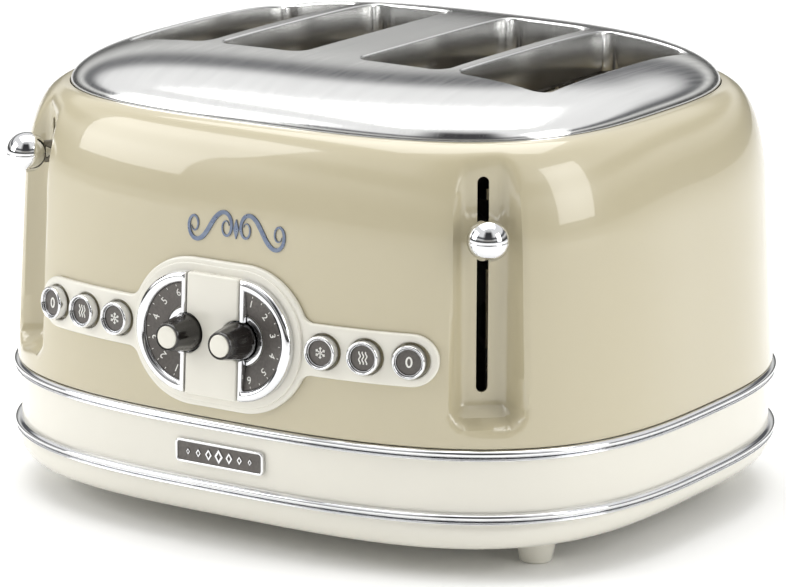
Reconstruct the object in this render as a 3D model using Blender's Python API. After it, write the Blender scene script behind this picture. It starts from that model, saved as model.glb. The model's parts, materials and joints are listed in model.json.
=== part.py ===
"""Four-slot pop-up toaster: painted steel body on a moulded base, with two toasting modules.

Metres, +Z up, front towards -Y. The origin is on the surface that the feet stand on, under the middle of
the whole toaster. Every piece hangs under one empty, "toaster", whose origin is the middle of the body's
plan, so the sizes below are measured from that middle.
"""

import math

import bmesh
import bpy
from mathutils import Matrix, Vector

MM = 0.001
GAP = 0.3 * MM  # between pieces that touch
SIDES = (("left", -1), ("right", 1))

# Body outline: a superellipse, |x/a|^n + |y/b|^n = 1
BODY_WIDTH = 330 * MM  # over the trim rings
BODY_DEPTH = 281.6 * MM
BODY_HEIGHT = 204.7 * MM  # floor to the cover's crown
PLAN_POWER_BASE = 2.96
PLAN_POWER_TOP = 3.11
PLAN_STEPS = 40
CHANNEL_FINENESS = 4  # finer steps round the outline, across the lever channels

# Base moulding and trim rings
BASE_BOTTOM = 12.3 * MM
BOWL_HEIGHT = 12.7 * MM
BOWL_INSET_X = 16.6 * MM
BOWL_INSET_Y = 10 * MM
BOWL_POWER = 3.32
BASE_WALL = 2.5 * MM
RING_PROUD = 3.3 * MM
RING_HEIGHT = 5.2 * MM
LOWER_RING_Z = 28.1 * MM
UPPER_RING_Z = 55.9 * MM
LIP_HEIGHT = 5.5 * MM
LIP_CLEARANCE = 1.1 * MM
FOOT_X = 121 * MM
FOOT_Y = 75 * MM
FOOT_TOP_RADIUS = 9.5 * MM
FOOT_BOTTOM_RADIUS = 7 * MM

# Painted steel body
SHELL_WALL = 1.2 * MM
SHELL_START_INSET = 1.7 * MM
SHELL_TAPER = 7.7 * MM
SHOULDER_INSET = 15.4 * MM
SHOULDER_HEIGHT = 46.4 * MM
SHOULDER_POWER = 2.2
INSET_X_SHARE = 1.117
INSET_Y_SHARE = 0.883

# Lever channels pressed into the two front corners
LEVER_ANGLE = 48  # degrees from +X to the lever's way out, towards -Y
LEVER_SET_IN = 4.3 * MM  # ball's middle, in from the outline's point that faces this way
LEVER_FORWARD = 12.3 * MM  # and along the outline towards the front
LEVER_HIGH_BELOW_TOP = 18.7 * MM
LEVER_LOW_ABOVE_BAND = 27.8 * MM
LEVER_REST_BELOW_HIGH = {"left": 9 * MM, "right": 18.2 * MM}
BALL_RADIUS = 9 * MM
BALL_SOCKET = 4.5 * MM
LEVER_REACH = 12.5 * MM  # ball's middle to the channel's floor
CHANNEL_FLOOR_HALF = 7 * MM
CHANNEL_LIP = 8 * MM
CHANNEL_RISE = 10 * MM
CHANNEL_BELOW_BALL = 1.3 * MM
BLADE_THICK = 3 * MM
BLADE_HEIGHT = 9.5 * MM
BLADE_CLEARANCE = 1 * MM
BLADE_END_CLEARANCE = 1.5 * MM

# Brushed steel top cover
COVER_WALL = 1.2 * MM
COVER_RISE = 19.5 * MM
COVER_CLEARANCE = 0.9 * MM
COVER_SKIRT = 2.5 * MM
DOME_POWER = 5
DOME_ROOT = 0.55
SLOT_WIDTH = 44.6 * MM
SLOT_LENGTH = 128.4 * MM
SLOT_PITCH = 51.1 * MM
SLOT_FIRST_EDGE = 14.4 * MM  # middle of the toaster to the inner slot's edge
SLOT_MIDDLE_Y = 9.6 * MM
SLOT_CORNER = 7 * MM
FLANGE_WALL = 0.9 * MM

# Toasting modules
CHAMBER_WALL = 0.8 * MM
CHAMBER_MARGIN = 4.6 * MM
CHAMBER_ABOVE_TRAY = 7.2 * MM
CHAMBER_BELOW_SHELL_TOP = 1.2 * MM
FLANGE_CLEARANCE = 0.6 * MM
SHELF_DEPTH = 38 * MM
SHELF_WIDTH = 56 * MM
HEATER_THICK = 1.2 * MM
HEATER_FROM_BOTTOM = 22 * MM
HEATER_FROM_TOP = 3 * MM
HEATER_STANDOFF = 1.8 * MM
LIFT_BELOW_LEVER = 20 * MM
LIFT_CLEARANCE = 2.3 * MM  # to the closed bread guides
LIFT_THICK = 2 * MM
ARM_WIDTH = 4 * MM
ARM_HEIGHT = 8 * MM
ARM_CLEARANCE = 1.2 * MM
PLATE_STANDOFF = 12.5 * MM  # chamber's front wall to the carriage plate
PLATE_THICK = 1.5 * MM
PLATE_MARGIN = 10 * MM
PLATE_BELOW = 4 * MM
PLATE_ABOVE = 26 * MM
ROD_RADIUS = 3 * MM
ROD_FORWARD = 8 * MM  # of the carriage plate
BUSH_HALF = 6.5 * MM
BUSH_HEIGHT = 14 * MM
SPRING_RADIUS = 4 * MM
SPRING_WIRE = 0.9 * MM
SPRING_TURNS = 6
SPRING_ASIDE = 15 * MM
SPRING_SEAT_THICK = 1.5 * MM
MAGNET_WIDTH = 16 * MM
MAGNET_DEPTH = 14 * MM
MAGNET_ASIDE = 21 * MM
LATCH_GAP = 0.8 * MM
ARMATURE_THICK = 1.5 * MM
ARMATURE_ABOVE_LIFT = 6 * MM
WIRE = 2 * MM
GUIDE_INSET = 5 * MM
GUIDE_CLOSE = 8 * MM
GUIDE_WIRES = 4
GUIDE_FROM_TOP = 4 * MM
GUIDE_FROM_BOTTOM = 18 * MM
GUIDE_END_MARGIN = 6 * MM
LINK_FROM_BOTTOM = 6 * MM
LINK_SIDESTEP = 4 * MM  # so that the links of the two guides pass each other

# Crumb tray
TRAY_ABOVE_RING = 3.1 * MM
TRAY_HEIGHT = 11 * MM
TRAY_WALL = 1 * MM
TRAY_CLEARANCE = 0.6 * MM
TRAY_GRIP = 6 * MM
GRIP_HALF_WIDTH = 35 * MM
GRIP_THICK = 2 * MM
RAIL_WIDTH = 7 * MM
RUNNER_X = 35 * MM

# Control panel, measured from its middle
PANEL_ABOVE_BAND = 5.3 * MM
PANEL_THICK = 2.3 * MM
WING_MARGIN = 4 * MM
OVAL_MARGIN = 5.6 * MM
NECK_RADIUS = 6 * MM
DIAL_X = 13.6 * MM
PLATFORM_PROUD = 0.6 * MM
PLATFORM_MARGIN = 2.2 * MM
PILLAR_RISE = 3.8 * MM
BEZEL_RADIUS = 26.6 * MM
BEZEL_RIM = 5.1 * MM
BEZEL_BAR = 2.8 * MM
BEZEL_RISE = 4.2 * MM
SCALE_THICK = 0.7 * MM
POINTER_RADIUS = 11.2 * MM
POINTER_THICK = 1 * MM
POINTER_CLEARANCE = 0.5 * MM
SHAFT_RADIUS = 3 * MM
SHAFT_END_GAP = 1 * MM  # to the control board
KNOB_BASE_RADIUS = 8.2 * MM
KNOB_TIP_RADIUS = 5.7 * MM
KNOB_TIP = 17.5 * MM
CAP_RADIUS = 4.9 * MM
CAP_THICK = 1.6 * MM
BUTTON_NAMES = ("defrost", "reheat", "cancel")
BUTTON_FROM_OVAL = 7.4 * MM
BUTTON_PITCH = 19.2 * MM
BUTTON_RADIUS = 7.3 * MM
BUTTON_HOLE_CLEARANCE = 0.5 * MM
BUTTON_RISE = 4.2 * MM
BUTTON_STEM_RADIUS = 3 * MM
BUTTON_STEM_LENGTH = 12 * MM
BUTTON_RIM = 1.7 * MM
BUTTON_FACE_THICK = 1.9 * MM
BUTTON_SEAT = 1 * MM

# Control board, badge and cord gland
BOARD_HALF_WIDTH = 96 * MM
BOARD_HEIGHT = 46 * MM
BOARD_THICK = 1.6 * MM
BOARD_BEHIND_SHELL = 14.5 * MM
BADGE_WIDTH = 46 * MM
BADGE_HEIGHT = 10.5 * MM
BADGE_THICK = 1.6 * MM
GLAND_ABOVE_BAND = 17.5 * MM
GLAND_FLANGE_RADIUS = 10 * MM
GLAND_NECK_RADIUS = 7 * MM
GLAND_BORE_RADIUS = 3.8 * MM
GLAND_PROUD = 5 * MM
GLAND_INSIDE = 8 * MM

# Places that follow from the sizes
HALF_WIDTH = BODY_WIDTH / 2
HALF_DEPTH = BODY_DEPTH / 2
BAND_A = HALF_WIDTH - RING_PROUD
BAND_B = HALF_DEPTH - RING_PROUD
BAND_TOP = UPPER_RING_Z + RING_HEIGHT / 2
SHELL_BOTTOM = BAND_TOP + GAP
SHELL_TOP = BODY_HEIGHT - COVER_RISE

OUTWARD = Vector((math.cos(math.radians(LEVER_ANGLE)), -math.sin(math.radians(LEVER_ANGLE)), 0))
ALONG = Vector((-OUTWARD.y, OUTWARD.x, 0))
LEVER_HIGH = SHELL_TOP - LEVER_HIGH_BELOW_TOP
LEVER_LOW = BAND_TOP + LEVER_LOW_ABOVE_BAND
LEVER_REST = {side: LEVER_HIGH - below for side, below in LEVER_REST_BELOW_HIGH.items()}
CHANNEL_BOTTOM = LEVER_LOW - BALL_RADIUS - CHANNEL_BELOW_BALL

SLOT_MIDDLES = (SLOT_FIRST_EDGE + SLOT_WIDTH / 2, SLOT_FIRST_EDGE + SLOT_PITCH + SLOT_WIDTH / 2)
SLOT_FRONT = SLOT_MIDDLE_Y - SLOT_LENGTH / 2
SLOT_BACK = SLOT_MIDDLE_Y + SLOT_LENGTH / 2
TRAY_BOTTOM = LOWER_RING_Z + RING_HEIGHT / 2 + TRAY_ABOVE_RING
TRAY_TOP = TRAY_BOTTOM + TRAY_HEIGHT
MODULE_INNER = SLOT_FIRST_EDGE - CHAMBER_MARGIN
MODULE_OUTER = SLOT_FIRST_EDGE + SLOT_PITCH + SLOT_WIDTH + CHAMBER_MARGIN
CHAMBER_FRONT = SLOT_FRONT - CHAMBER_MARGIN
CHAMBER_BACK = SLOT_BACK + CHAMBER_MARGIN
CHAMBER_BOTTOM = TRAY_TOP + CHAMBER_ABOVE_TRAY
CHAMBER_TOP = SHELL_TOP - CHAMBER_BELOW_SHELL_TOP
TRAY_HALF_WIDTH = MODULE_OUTER - RAIL_WIDTH - TRAY_CLEARANCE - CHAMBER_MARGIN / 2
PLATE_Y = CHAMBER_FRONT - PLATE_STANDOFF
PLATE_FRONT = PLATE_Y - PLATE_THICK
ROD_X = (SLOT_MIDDLES[0] + SLOT_MIDDLES[1]) / 2
ROD_Y = PLATE_FRONT - ROD_FORWARD
GUIDE_LOW = CHAMBER_BOTTOM + GUIDE_FROM_BOTTOM
GUIDE_TOP = CHAMBER_TOP - GUIDE_FROM_TOP
GUIDE_FRONT = SLOT_FRONT + GUIDE_END_MARGIN
GUIDE_BACK = SLOT_BACK - GUIDE_END_MARGIN
GUIDE_PER_LEVER = GUIDE_CLOSE / (LEVER_REST["right"] - LEVER_LOW)
LIFT_WIDTH = SLOT_WIDTH - 2 * (GUIDE_INSET + GUIDE_CLOSE + WIRE / 2 + LIFT_CLEARANCE)

OVAL_RADIUS = BEZEL_RADIUS + OVAL_MARGIN
OVAL_HALF_WIDTH = DIAL_X + OVAL_RADIUS
WINDOW_RADIUS = BEZEL_RADIUS - BEZEL_RIM
PANEL_Z = BAND_TOP + PANEL_ABOVE_BAND + OVAL_RADIUS
BUTTON_X = [OVAL_HALF_WIDTH + BUTTON_FROM_OVAL + i * BUTTON_PITCH for i in range(len(BUTTON_NAMES))]
BUTTON_FACE_RADIUS = BUTTON_RADIUS - BUTTON_RIM
WING_HALF_HEIGHT = BUTTON_RADIUS + WING_MARGIN
PANEL_HALF_WIDTH = BUTTON_X[-1] + WING_HALF_HEIGHT
BADGE_Z = (LOWER_RING_Z + UPPER_RING_Z) / 2
GLAND_Z = BAND_TOP + GLAND_ABOVE_BAND


# ---------------------------------------------------------------- outlines and surfaces
def superellipse(a, b, power):
    """Points round a superellipse, anticlockwise from +X, closer together at its corners."""
    return [outline_point(a, b, power, 2 * math.pi * step / PLAN_STEPS) for step in range(PLAN_STEPS)]


def outline_point(a, b, power, angle):
    c, s = math.cos(angle), math.sin(angle)
    x = a * math.copysign(abs(c) ** (2 / power), c)
    y = b * math.copysign(abs(s) ** (2 / power), s)
    return x, y


def shell_inset(z):
    """How far the body's side stands in from the trim rings at height z."""
    share = (z - UPPER_RING_Z) / (SHELL_TOP - UPPER_RING_Z)
    turn = min(max((z - SHELL_TOP + SHOULDER_HEIGHT) / SHOULDER_HEIGHT, 0), 1)
    shoulder = SHOULDER_INSET * (1 - (1 - turn**SHOULDER_POWER) ** (1 / SHOULDER_POWER))
    return SHELL_START_INSET + SHELL_TAPER * share + shoulder


def shell_plan(z):
    """Half width, half depth and power of the body's outline at height z."""
    inset = shell_inset(z)
    share = (z - UPPER_RING_Z) / (SHELL_TOP - UPPER_RING_Z)
    power = PLAN_POWER_BASE + (PLAN_POWER_TOP - PLAN_POWER_BASE) * share
    return HALF_WIDTH - INSET_X_SHARE * inset, HALF_DEPTH - INSET_Y_SHARE * inset, power


def lever_middle(side, z):
    """The ball's middle: beside the corner point where the trim ring's outline faces along the lever."""
    power = PLAN_POWER_BASE
    steepness = math.tan(math.radians(LEVER_ANGLE)) * HALF_DEPTH / HALF_WIDTH
    ratio = steepness ** (1 / (power - 1))
    share = (1 + ratio**power) ** (-1 / power)
    corner = Vector((HALF_WIDTH * share, -HALF_DEPTH * share * ratio, 0))
    middle = corner - OUTWARD * LEVER_SET_IN - ALONG * LEVER_FORWARD
    return Vector((side * middle.x, middle.y, z))


def blade_length():
    """From the ball's middle back to the carriage plate, along the lever."""
    return (PLATE_FRONT - GAP - lever_middle(1, 0).y) / -OUTWARD.y


def band_y(x, out=0.0):
    """The depth of the band between the rings at x, moved out, on the rear side."""
    power = PLAN_POWER_BASE
    return (BAND_B + out) * (1 - abs(x / (BAND_A + out)) ** power) ** (1 / power)


def front_point(x, z, out=0.0):
    """The point on the body's front at x and z, moved out along the surface's normal."""
    a, b, power = shell_plan(z)
    y = -b * (1 - abs(x / a) ** power) ** (1 / power)
    point = Vector((x, y, z))
    return point + out * front_normal(x, z) if out else point


def front_normal(x, z):
    step = 0.5 * MM
    across = front_point(x + step, z) - front_point(x - step, z)
    up = front_point(x, z + step) - front_point(x, z - step)
    return across.cross(up).normalized()


def press_channel(point):
    """Moves a point of the body's side in to the lever channel, where the channel is deeper."""
    side = math.copysign(1, point.x)
    mirrored = Vector((abs(point.x), point.y, point.z))
    offset = mirrored - lever_middle(1, point.z)
    aside = max(abs(offset.dot(ALONG)) - CHANNEL_FLOOR_HALF, 0)
    below = max(CHANNEL_BOTTOM - point.z, 0)
    wall = math.hypot(aside, below) / CHANNEL_LIP
    limit = -LEVER_REACH + CHANNEL_RISE * wall**2
    excess = offset.dot(OUTWARD) - limit
    if point.y > 0 or excess <= 0:
        return point
    moved = mirrored - OUTWARD * excess
    return Vector((side * moved.x, moved.y, moved.z))


# ---------------------------------------------------------------- Blender helpers
def clear_scene():
    for obj in list(bpy.data.objects):
        bpy.data.objects.remove(obj, do_unlink=True)


def material(name, colour, roughness, metallic=0.0):
    found = bpy.data.materials.get(name)
    if found:
        return found
    made = bpy.data.materials.new(name)
    made.use_nodes = True
    shader = made.node_tree.nodes["Principled BSDF"]
    shader.inputs["Base Color"].default_value = (*colour, 1)
    shader.inputs["Roughness"].default_value = roughness
    shader.inputs["Metallic"].default_value = metallic
    return made


def beige_enamel():
    return material("beige_enamel", (0.64, 0.57, 0.42), 0.15)


def cream_plastic():
    return material("cream_plastic", (0.80, 0.78, 0.68), 0.25)


def brushed_steel():
    return material("brushed_steel", (0.66, 0.65, 0.62), 0.32, 1)


def chrome():
    return material("chrome", (0.80, 0.80, 0.80), 0.06, 1)


def dark_dial():
    return material("dark_dial", (0.12, 0.12, 0.13), 0.35, 0.6)


def black_plastic():
    return material("black_plastic", (0.02, 0.02, 0.02), 0.2)


def sheet_steel():
    return material("sheet_steel", (0.42, 0.41, 0.39), 0.4, 1)


def mica():
    return material("mica", (0.55, 0.48, 0.35), 0.6)


def green_board():
    return material("green_board", (0.05, 0.25, 0.12), 0.5)


def empty(name, parent=None, matrix=None):
    made = bpy.data.objects.new(name, None)
    bpy.context.scene.collection.objects.link(made)
    made.parent = parent
    if matrix is not None:
        made.matrix_local = matrix
    return made


def add_object(name, bm, finish, parent, cutter=False):
    mesh = bpy.data.meshes.new(name)
    bm.to_mesh(mesh)
    bm.free()
    made = bpy.data.objects.new(name, mesh)
    bpy.context.scene.collection.objects.link(made)
    made.parent = parent
    if finish:
        mesh.materials.append(finish)
    if cutter:
        made.hide_render = True
        made.display_type = "WIRE"
    return made


def smooth(obj, degrees=35):
    obj.data.shade_smooth()
    obj.data.set_sharp_from_angle(angle=math.radians(degrees))


def boolean(obj, other, operation):
    modifier = obj.modifiers.new(operation.lower() + "_" + other.name, "BOOLEAN")
    modifier.operation = operation
    modifier.solver = "EXACT"
    modifier.object = other


def close_rings(bm, rings, first_cap=True, last_cap=True):
    """Quads between successive rings of vertices, which run anticlockwise and upwards on the outside."""
    for low, high in zip(rings, rings[1:]):
        count = len(low)
        for i in range(count):
            j = (i + 1) % count
            bm.faces.new((low[i], low[j], high[j], high[i]))
    if first_cap:
        bm.faces.new(list(reversed(rings[0])))
    if last_cap:
        bm.faces.new(rings[-1])


def add_loft(bm, levels):
    """A closed skin over superellipses, each given as (half width, half depth, power, height)."""
    rings = []
    for a, b, power, z in levels:
        rings.append([bm.verts.new((x, y, z)) for x, y in superellipse(a, b, power)])
    close_rings(bm, rings)


def add_box(bm, low, high):
    size = Vector(high) - Vector(low)
    middle = (Vector(high) + Vector(low)) / 2
    matrix = Matrix.Translation(middle) @ Matrix.Diagonal((*size, 1))
    bmesh.ops.create_cube(bm, size=1, matrix=matrix)


def box_object(name, low, high, finish, parent, cutter=False):
    bm = bmesh.new()
    add_box(bm, low, high)
    return add_object(name, bm, finish, parent, cutter)


def add_turned(bm, profile, steps, matrix=None):
    """A solid turned about local +Z from (radius, height) points that run up its outside. Ends on the axis close it."""
    rings = []
    for radius, height in profile:
        if radius == 0:
            rings.append([bm.verts.new((0, 0, height))])
            continue
        angles = [2 * math.pi * i / steps for i in range(steps)]
        rings.append([bm.verts.new((radius * math.cos(t), radius * math.sin(t), height)) for t in angles])
    for low, high in zip(rings, rings[1:]):
        for i in range(steps):
            j = (i + 1) % steps
            if len(low) == 1:
                bm.faces.new((low[0], high[j], high[i]))
            elif len(high) == 1:
                bm.faces.new((low[i], low[j], high[0]))
            else:
                bm.faces.new((low[i], low[j], high[j], high[i]))
    if matrix is not None:
        bmesh.ops.transform(bm, matrix=matrix, verts=[v for ring in rings for v in ring])


def turned_object(name, profile, steps, finish, parent, matrix=None, cutter=False):
    bm = bmesh.new()
    add_turned(bm, profile, steps, matrix)
    made = add_object(name, bm, finish, parent, cutter)
    smooth(made)
    return made


def add_prism(bm, outline, low, high, matrix=None):
    """A flat outline of (x, y) points, anticlockwise, made solid from low to high along local +Z."""
    rings = [[bm.verts.new((x, y, z)) for x, y in outline] for z in (low, high)]
    close_rings(bm, rings)
    if matrix is not None:
        bmesh.ops.transform(bm, matrix=matrix, verts=[v for ring in rings for v in ring])


def arc(middle, radius, start, end, steps):
    """Points on an arc, in degrees."""
    angles = [math.radians(start + (end - start) * i / steps) for i in range(steps + 1)]
    return [(middle[0] + radius * math.cos(t), middle[1] + radius * math.sin(t)) for t in angles]


def rounded_rectangle(half_x, half_y, radius, steps=3):
    points = []
    for quarter, (sx, sy) in enumerate(((1, 1), (-1, 1), (-1, -1), (1, -1))):
        middle = (sx * (half_x - radius), sy * (half_y - radius))
        points += arc(middle, radius, 90 * quarter, 90 * quarter + 90, steps)
    return points


def facing_front(origin, normal):
    """A placement whose local +Z is the outward normal, +X across to the right and +Y up."""
    z_axis = normal.normalized()
    x_axis = Vector((0, 0, 1)).cross(z_axis).normalized()
    y_axis = z_axis.cross(x_axis)
    rotation = Matrix((x_axis, y_axis, z_axis)).transposed().to_4x4()
    return Matrix.Translation(origin) @ rotation


def lever_frame(side, z):
    """Placement at the ball's middle: local +X out along the lever, +Y along the channel's width."""
    x_axis = Vector((side * OUTWARD.x, OUTWARD.y, 0))
    y_axis = Vector((0, 0, 1)).cross(x_axis)
    rotation = Matrix((x_axis, y_axis, Vector((0, 0, 1)))).transposed().to_4x4()
    return Matrix.Translation(lever_middle(side, z)) @ rotation


# ---------------------------------------------------------------- base, rings, feet
def bowl_levels(wall, steps):
    """Levels of the base's rounded underside, from its bottom up, a wall in from the outside."""
    levels = []
    for step in range(steps + 1):
        turn = math.radians(90 * (1 - step / steps))
        share = 1 - math.cos(turn)
        drop = math.sin(turn)
        a = BAND_A - wall - (BOWL_INSET_X - wall / 2) * share
        b = BAND_B - wall - (BOWL_INSET_Y - wall / 2) * share
        z = BASE_BOTTOM + BOWL_HEIGHT - (BOWL_HEIGHT - wall) * drop
        levels.append((a, b, PLAN_POWER_BASE + (BOWL_POWER - PLAN_POWER_BASE) * drop, z))
    return levels


def make_base_housing(parent):
    a, b, power = BAND_A, BAND_B, PLAN_POWER_BASE
    lip_top = BAND_TOP + LIP_HEIGHT
    levels = bowl_levels(0, 4)
    levels.append((a, b, power, BAND_TOP))
    levels.append((a - LIP_CLEARANCE, b - LIP_CLEARANCE, power, BAND_TOP))
    levels.append((a - LIP_CLEARANCE, b - LIP_CLEARANCE, power, lip_top))
    levels.append((a - LIP_CLEARANCE - BASE_WALL, b - LIP_CLEARANCE - BASE_WALL, power, lip_top))
    levels += list(reversed(bowl_levels(BASE_WALL + LIP_CLEARANCE, 2)))
    bm = bmesh.new()
    add_loft(bm, levels)
    housing = add_object("base_housing", bm, cream_plastic(), parent)
    add_tray_rails(housing, parent)
    low = (-TRAY_HALF_WIDTH - TRAY_CLEARANCE, CHAMBER_BACK + GAP, TRAY_BOTTOM - TRAY_CLEARANCE)
    high = (TRAY_HALF_WIDTH + TRAY_CLEARANCE, HALF_DEPTH, TRAY_TOP + TRAY_CLEARANCE)
    boolean(housing, box_object("tray_mouth_cutter", low, high, None, parent, True), "DIFFERENCE")
    smooth(housing)


def add_tray_rails(housing, parent):
    """Two side rails and a front rib, which carry the chambers, and two low runners for the tray."""
    root = BASE_BOTTOM + BASE_WALL / 2
    top = CHAMBER_BOTTOM - GAP
    rail_in = TRAY_HALF_WIDTH + TRAY_CLEARANCE
    rail_out = rail_in + RAIL_WIDTH
    rib_back = CHAMBER_FRONT
    rib_front = rib_back - RAIL_WIDTH
    boxes = [((-rail_out, rib_front, root), (rail_out, rib_back, top))]
    for side in (-1, 1):
        x_low, x_high = sorted((side * rail_in, side * rail_out))
        boxes.append(((x_low, rib_front, root), (x_high, CHAMBER_BACK, top)))
        x_low, x_high = sorted((side * RUNNER_X, side * (RUNNER_X + RAIL_WIDTH)))
        boxes.append(((x_low, rib_front, root), (x_high, CHAMBER_BACK, TRAY_BOTTOM - GAP)))
    for index, (low, high) in enumerate(boxes):
        boolean(housing, box_object(f"rail_block_{index}", low, high, None, parent, True), "UNION")


def make_trim_ring(name, middle_z, parent):
    """A half-round bead round the base, with a flat back just clear of the moulding."""
    bm = bmesh.new()
    back = RING_PROUD - GAP
    half = RING_HEIGHT / 2
    profile = ((back, -half), (back * 0.35, -half * 0.75), (0, 0), (back * 0.35, half * 0.75), (back, half))
    rings = []
    for inset, dz in profile:
        outline = superellipse(HALF_WIDTH - inset, HALF_DEPTH - inset, PLAN_POWER_BASE)
        rings.append([bm.verts.new((x, y, middle_z + dz)) for x, y in outline])
    close_rings(bm, [*rings, rings[0]], False, False)
    smooth(add_object(name, bm, chrome(), parent))


def make_feet(parent):
    for end, y in (("front", -FOOT_Y), ("rear", FOOT_Y)):
        for side_name, side in SIDES:
            top = BASE_BOTTOM - GAP
            profile = ((0, 0), (FOOT_BOTTOM_RADIUS - MM, 0), (FOOT_BOTTOM_RADIUS, MM), (FOOT_TOP_RADIUS, top), (0, top))
            matrix = Matrix.Translation((side * FOOT_X, y, 0))
            turned_object(f"foot_{end}_{side_name}", profile, 16, cream_plastic(), parent, matrix)


# ---------------------------------------------------------------- painted body and steel cover
def shell_levels():
    """Heights of the shell's rings: close together at the channel's end and in the shoulder."""
    straight_top = SHELL_TOP - SHOULDER_HEIGHT
    channel_end = [CHANNEL_BOTTOM - CHANNEL_LIP, CHANNEL_BOTTOM - CHANNEL_LIP / 2, CHANNEL_BOTTOM]
    lip_end = BAND_TOP + LIP_HEIGHT + 0.6 * MM
    heights = [SHELL_BOTTOM, lip_end, *channel_end, (CHANNEL_BOTTOM + straight_top) / 2, straight_top]
    turns = (0.4, 0.65, 0.82, 0.94, 1)
    heights += [straight_top + SHOULDER_HEIGHT * turn for turn in turns]
    return heights


def shell_angles():
    """Angles round the shell: PLAN_STEPS of them, and finer ones across the two front channels."""
    a, b, power = shell_plan((LEVER_LOW + LEVER_HIGH) / 2)
    floor = lever_middle(1, 0) - OUTWARD * LEVER_REACH
    middle = math.atan2((-floor.y / b) ** (power / 2), (floor.x / a) ** (power / 2))
    fine = 2 * math.pi / (PLAN_STEPS * CHANNEL_FINENESS)
    angles = []
    for step in range(PLAN_STEPS * CHANNEL_FINENESS):
        angle = fine * step
        near = min(abs(angle - 2 * math.pi + middle), abs(angle - math.pi - middle))
        if step % CHANNEL_FINENESS == 0 or near < CHANNEL_FINENESS * fine:
            angles.append(angle)
    return angles


def shell_point(angle, z):
    x, y = outline_point(*shell_plan(z), angle)
    return press_channel(Vector((x, y, z)))


def make_body_shell(parent):
    bm = bmesh.new()
    angles = shell_angles()
    rings = [[bm.verts.new(shell_point(angle, z)) for angle in angles] for z in shell_levels()]
    close_rings(bm, rings, False, False)
    shell = add_object("body_shell", bm, beige_enamel(), parent)
    wall = shell.modifiers.new("wall", "SOLIDIFY")
    wall.thickness = SHELL_WALL
    wall.offset = -1
    boolean(shell, shell_cutter(parent), "DIFFERENCE")
    smooth(shell)


def shell_cutter(parent):
    """Lever slots, holes for the dial shafts and button stems, and the cord gland's hole."""
    bm = bmesh.new()
    half = BLADE_THICK / 2 + BLADE_CLEARANCE
    middle = (LEVER_HIGH + LEVER_LOW) / 2
    half_height = (LEVER_HIGH - LEVER_LOW + BLADE_HEIGHT) / 2 + BLADE_END_CLEARANCE
    outline = rounded_rectangle(half, half_height, half * 0.98, 2)
    for _, side in SIDES:
        frame = lever_frame(side, middle) @ Matrix.Rotation(math.radians(90), 4, "Y")
        frame = frame @ Matrix.Rotation(math.radians(90), 4, "Z")
        add_prism(bm, outline, -LEVER_REACH - 6 * MM, -LEVER_REACH + 4 * MM, frame)
        dial = dial_frame(side)
        add_turned(bm, cylinder(SHAFT_RADIUS + POINTER_CLEARANCE, -12 * MM, 0), 12, dial)
        for x in BUTTON_X:
            stem_hole = cylinder(BUTTON_STEM_RADIUS + BUTTON_HOLE_CLEARANCE, -9 * MM, 0)
            add_turned(bm, stem_hole, 12, button_frame(side * x))
    gland = gland_frame()
    add_turned(bm, cylinder(GLAND_NECK_RADIUS + GAP, -6 * MM, 4 * MM), 16, gland)
    return add_object("shell_cutter", bm, None, parent, True)


def cylinder(radius, low, high):
    return ((0, low), (radius, low), (radius, high), (0, high))


def dome_levels(wall, bottom):
    """Levels of the cover's dome, from its skirt's bottom to near its middle, a wall in from the outside."""
    a, b, power = shell_plan(SHELL_TOP)
    a, b = a - COVER_CLEARANCE - wall, b - COVER_CLEARANCE - wall
    levels = [(a, b, power, bottom), (a, b, power, SHELL_TOP)]
    for share in (0.985, 0.95, 0.89, 0.8, 0.65, 0.35):
        rise = (COVER_RISE - wall) * (1 - share**DOME_POWER) ** DOME_ROOT
        levels.append((a * share, b * share, power + (2.2 - power) * (1 - share), SHELL_TOP + rise))
    return levels


def slot_outline(grow):
    return rounded_rectangle(SLOT_WIDTH / 2 + grow, SLOT_LENGTH / 2 + grow, SLOT_CORNER + grow)


def slot_prisms(bm, grow, low, high):
    outline = slot_outline(grow)
    for _, side in SIDES:
        for x in SLOT_MIDDLES:
            add_prism(bm, outline, low, high, Matrix.Translation((side * x, SLOT_MIDDLE_Y, 0)))


def make_top_cover(parent):
    skirt_bottom = SHELL_TOP - COVER_SKIRT
    above = SHELL_TOP + 2 * COVER_RISE
    bm = bmesh.new()
    add_loft(bm, dome_levels(0, skirt_bottom))
    cover = add_object("top_cover", bm, brushed_steel(), parent)
    bm = bmesh.new()
    add_loft(bm, dome_levels(COVER_WALL, skirt_bottom - 3 * MM))
    hollow = add_object("cover_hollow_cutter", bm, None, parent, True)
    bm = bmesh.new()
    slot_prisms(bm, FLANGE_WALL, CHAMBER_TOP + FLANGE_CLEARANCE, above)
    boolean(hollow, add_object("flange_blocks", bm, None, parent, True), "DIFFERENCE")
    boolean(cover, hollow, "DIFFERENCE")
    bm = bmesh.new()
    slot_prisms(bm, 0, CHAMBER_BOTTOM, above + MM)
    boolean(cover, add_object("slot_cutter", bm, None, parent, True), "DIFFERENCE")
    smooth(cover)


# ---------------------------------------------------------------- control panel
def button_frame(x):
    out = GAP + PANEL_THICK
    return facing_front(front_point(x, PANEL_Z, out), front_normal(x, PANEL_Z))


def dial_frame(side):
    """Placement of a dial on the panel's flat platform: local +Z out along the knob's shaft."""
    normal = front_normal(0, PANEL_Z)
    middle = front_point(0, PANEL_Z, GAP + PANEL_THICK + PLATFORM_PROUD)
    return facing_front(middle + Vector((side * DIAL_X, 0, 0)), normal)


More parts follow.
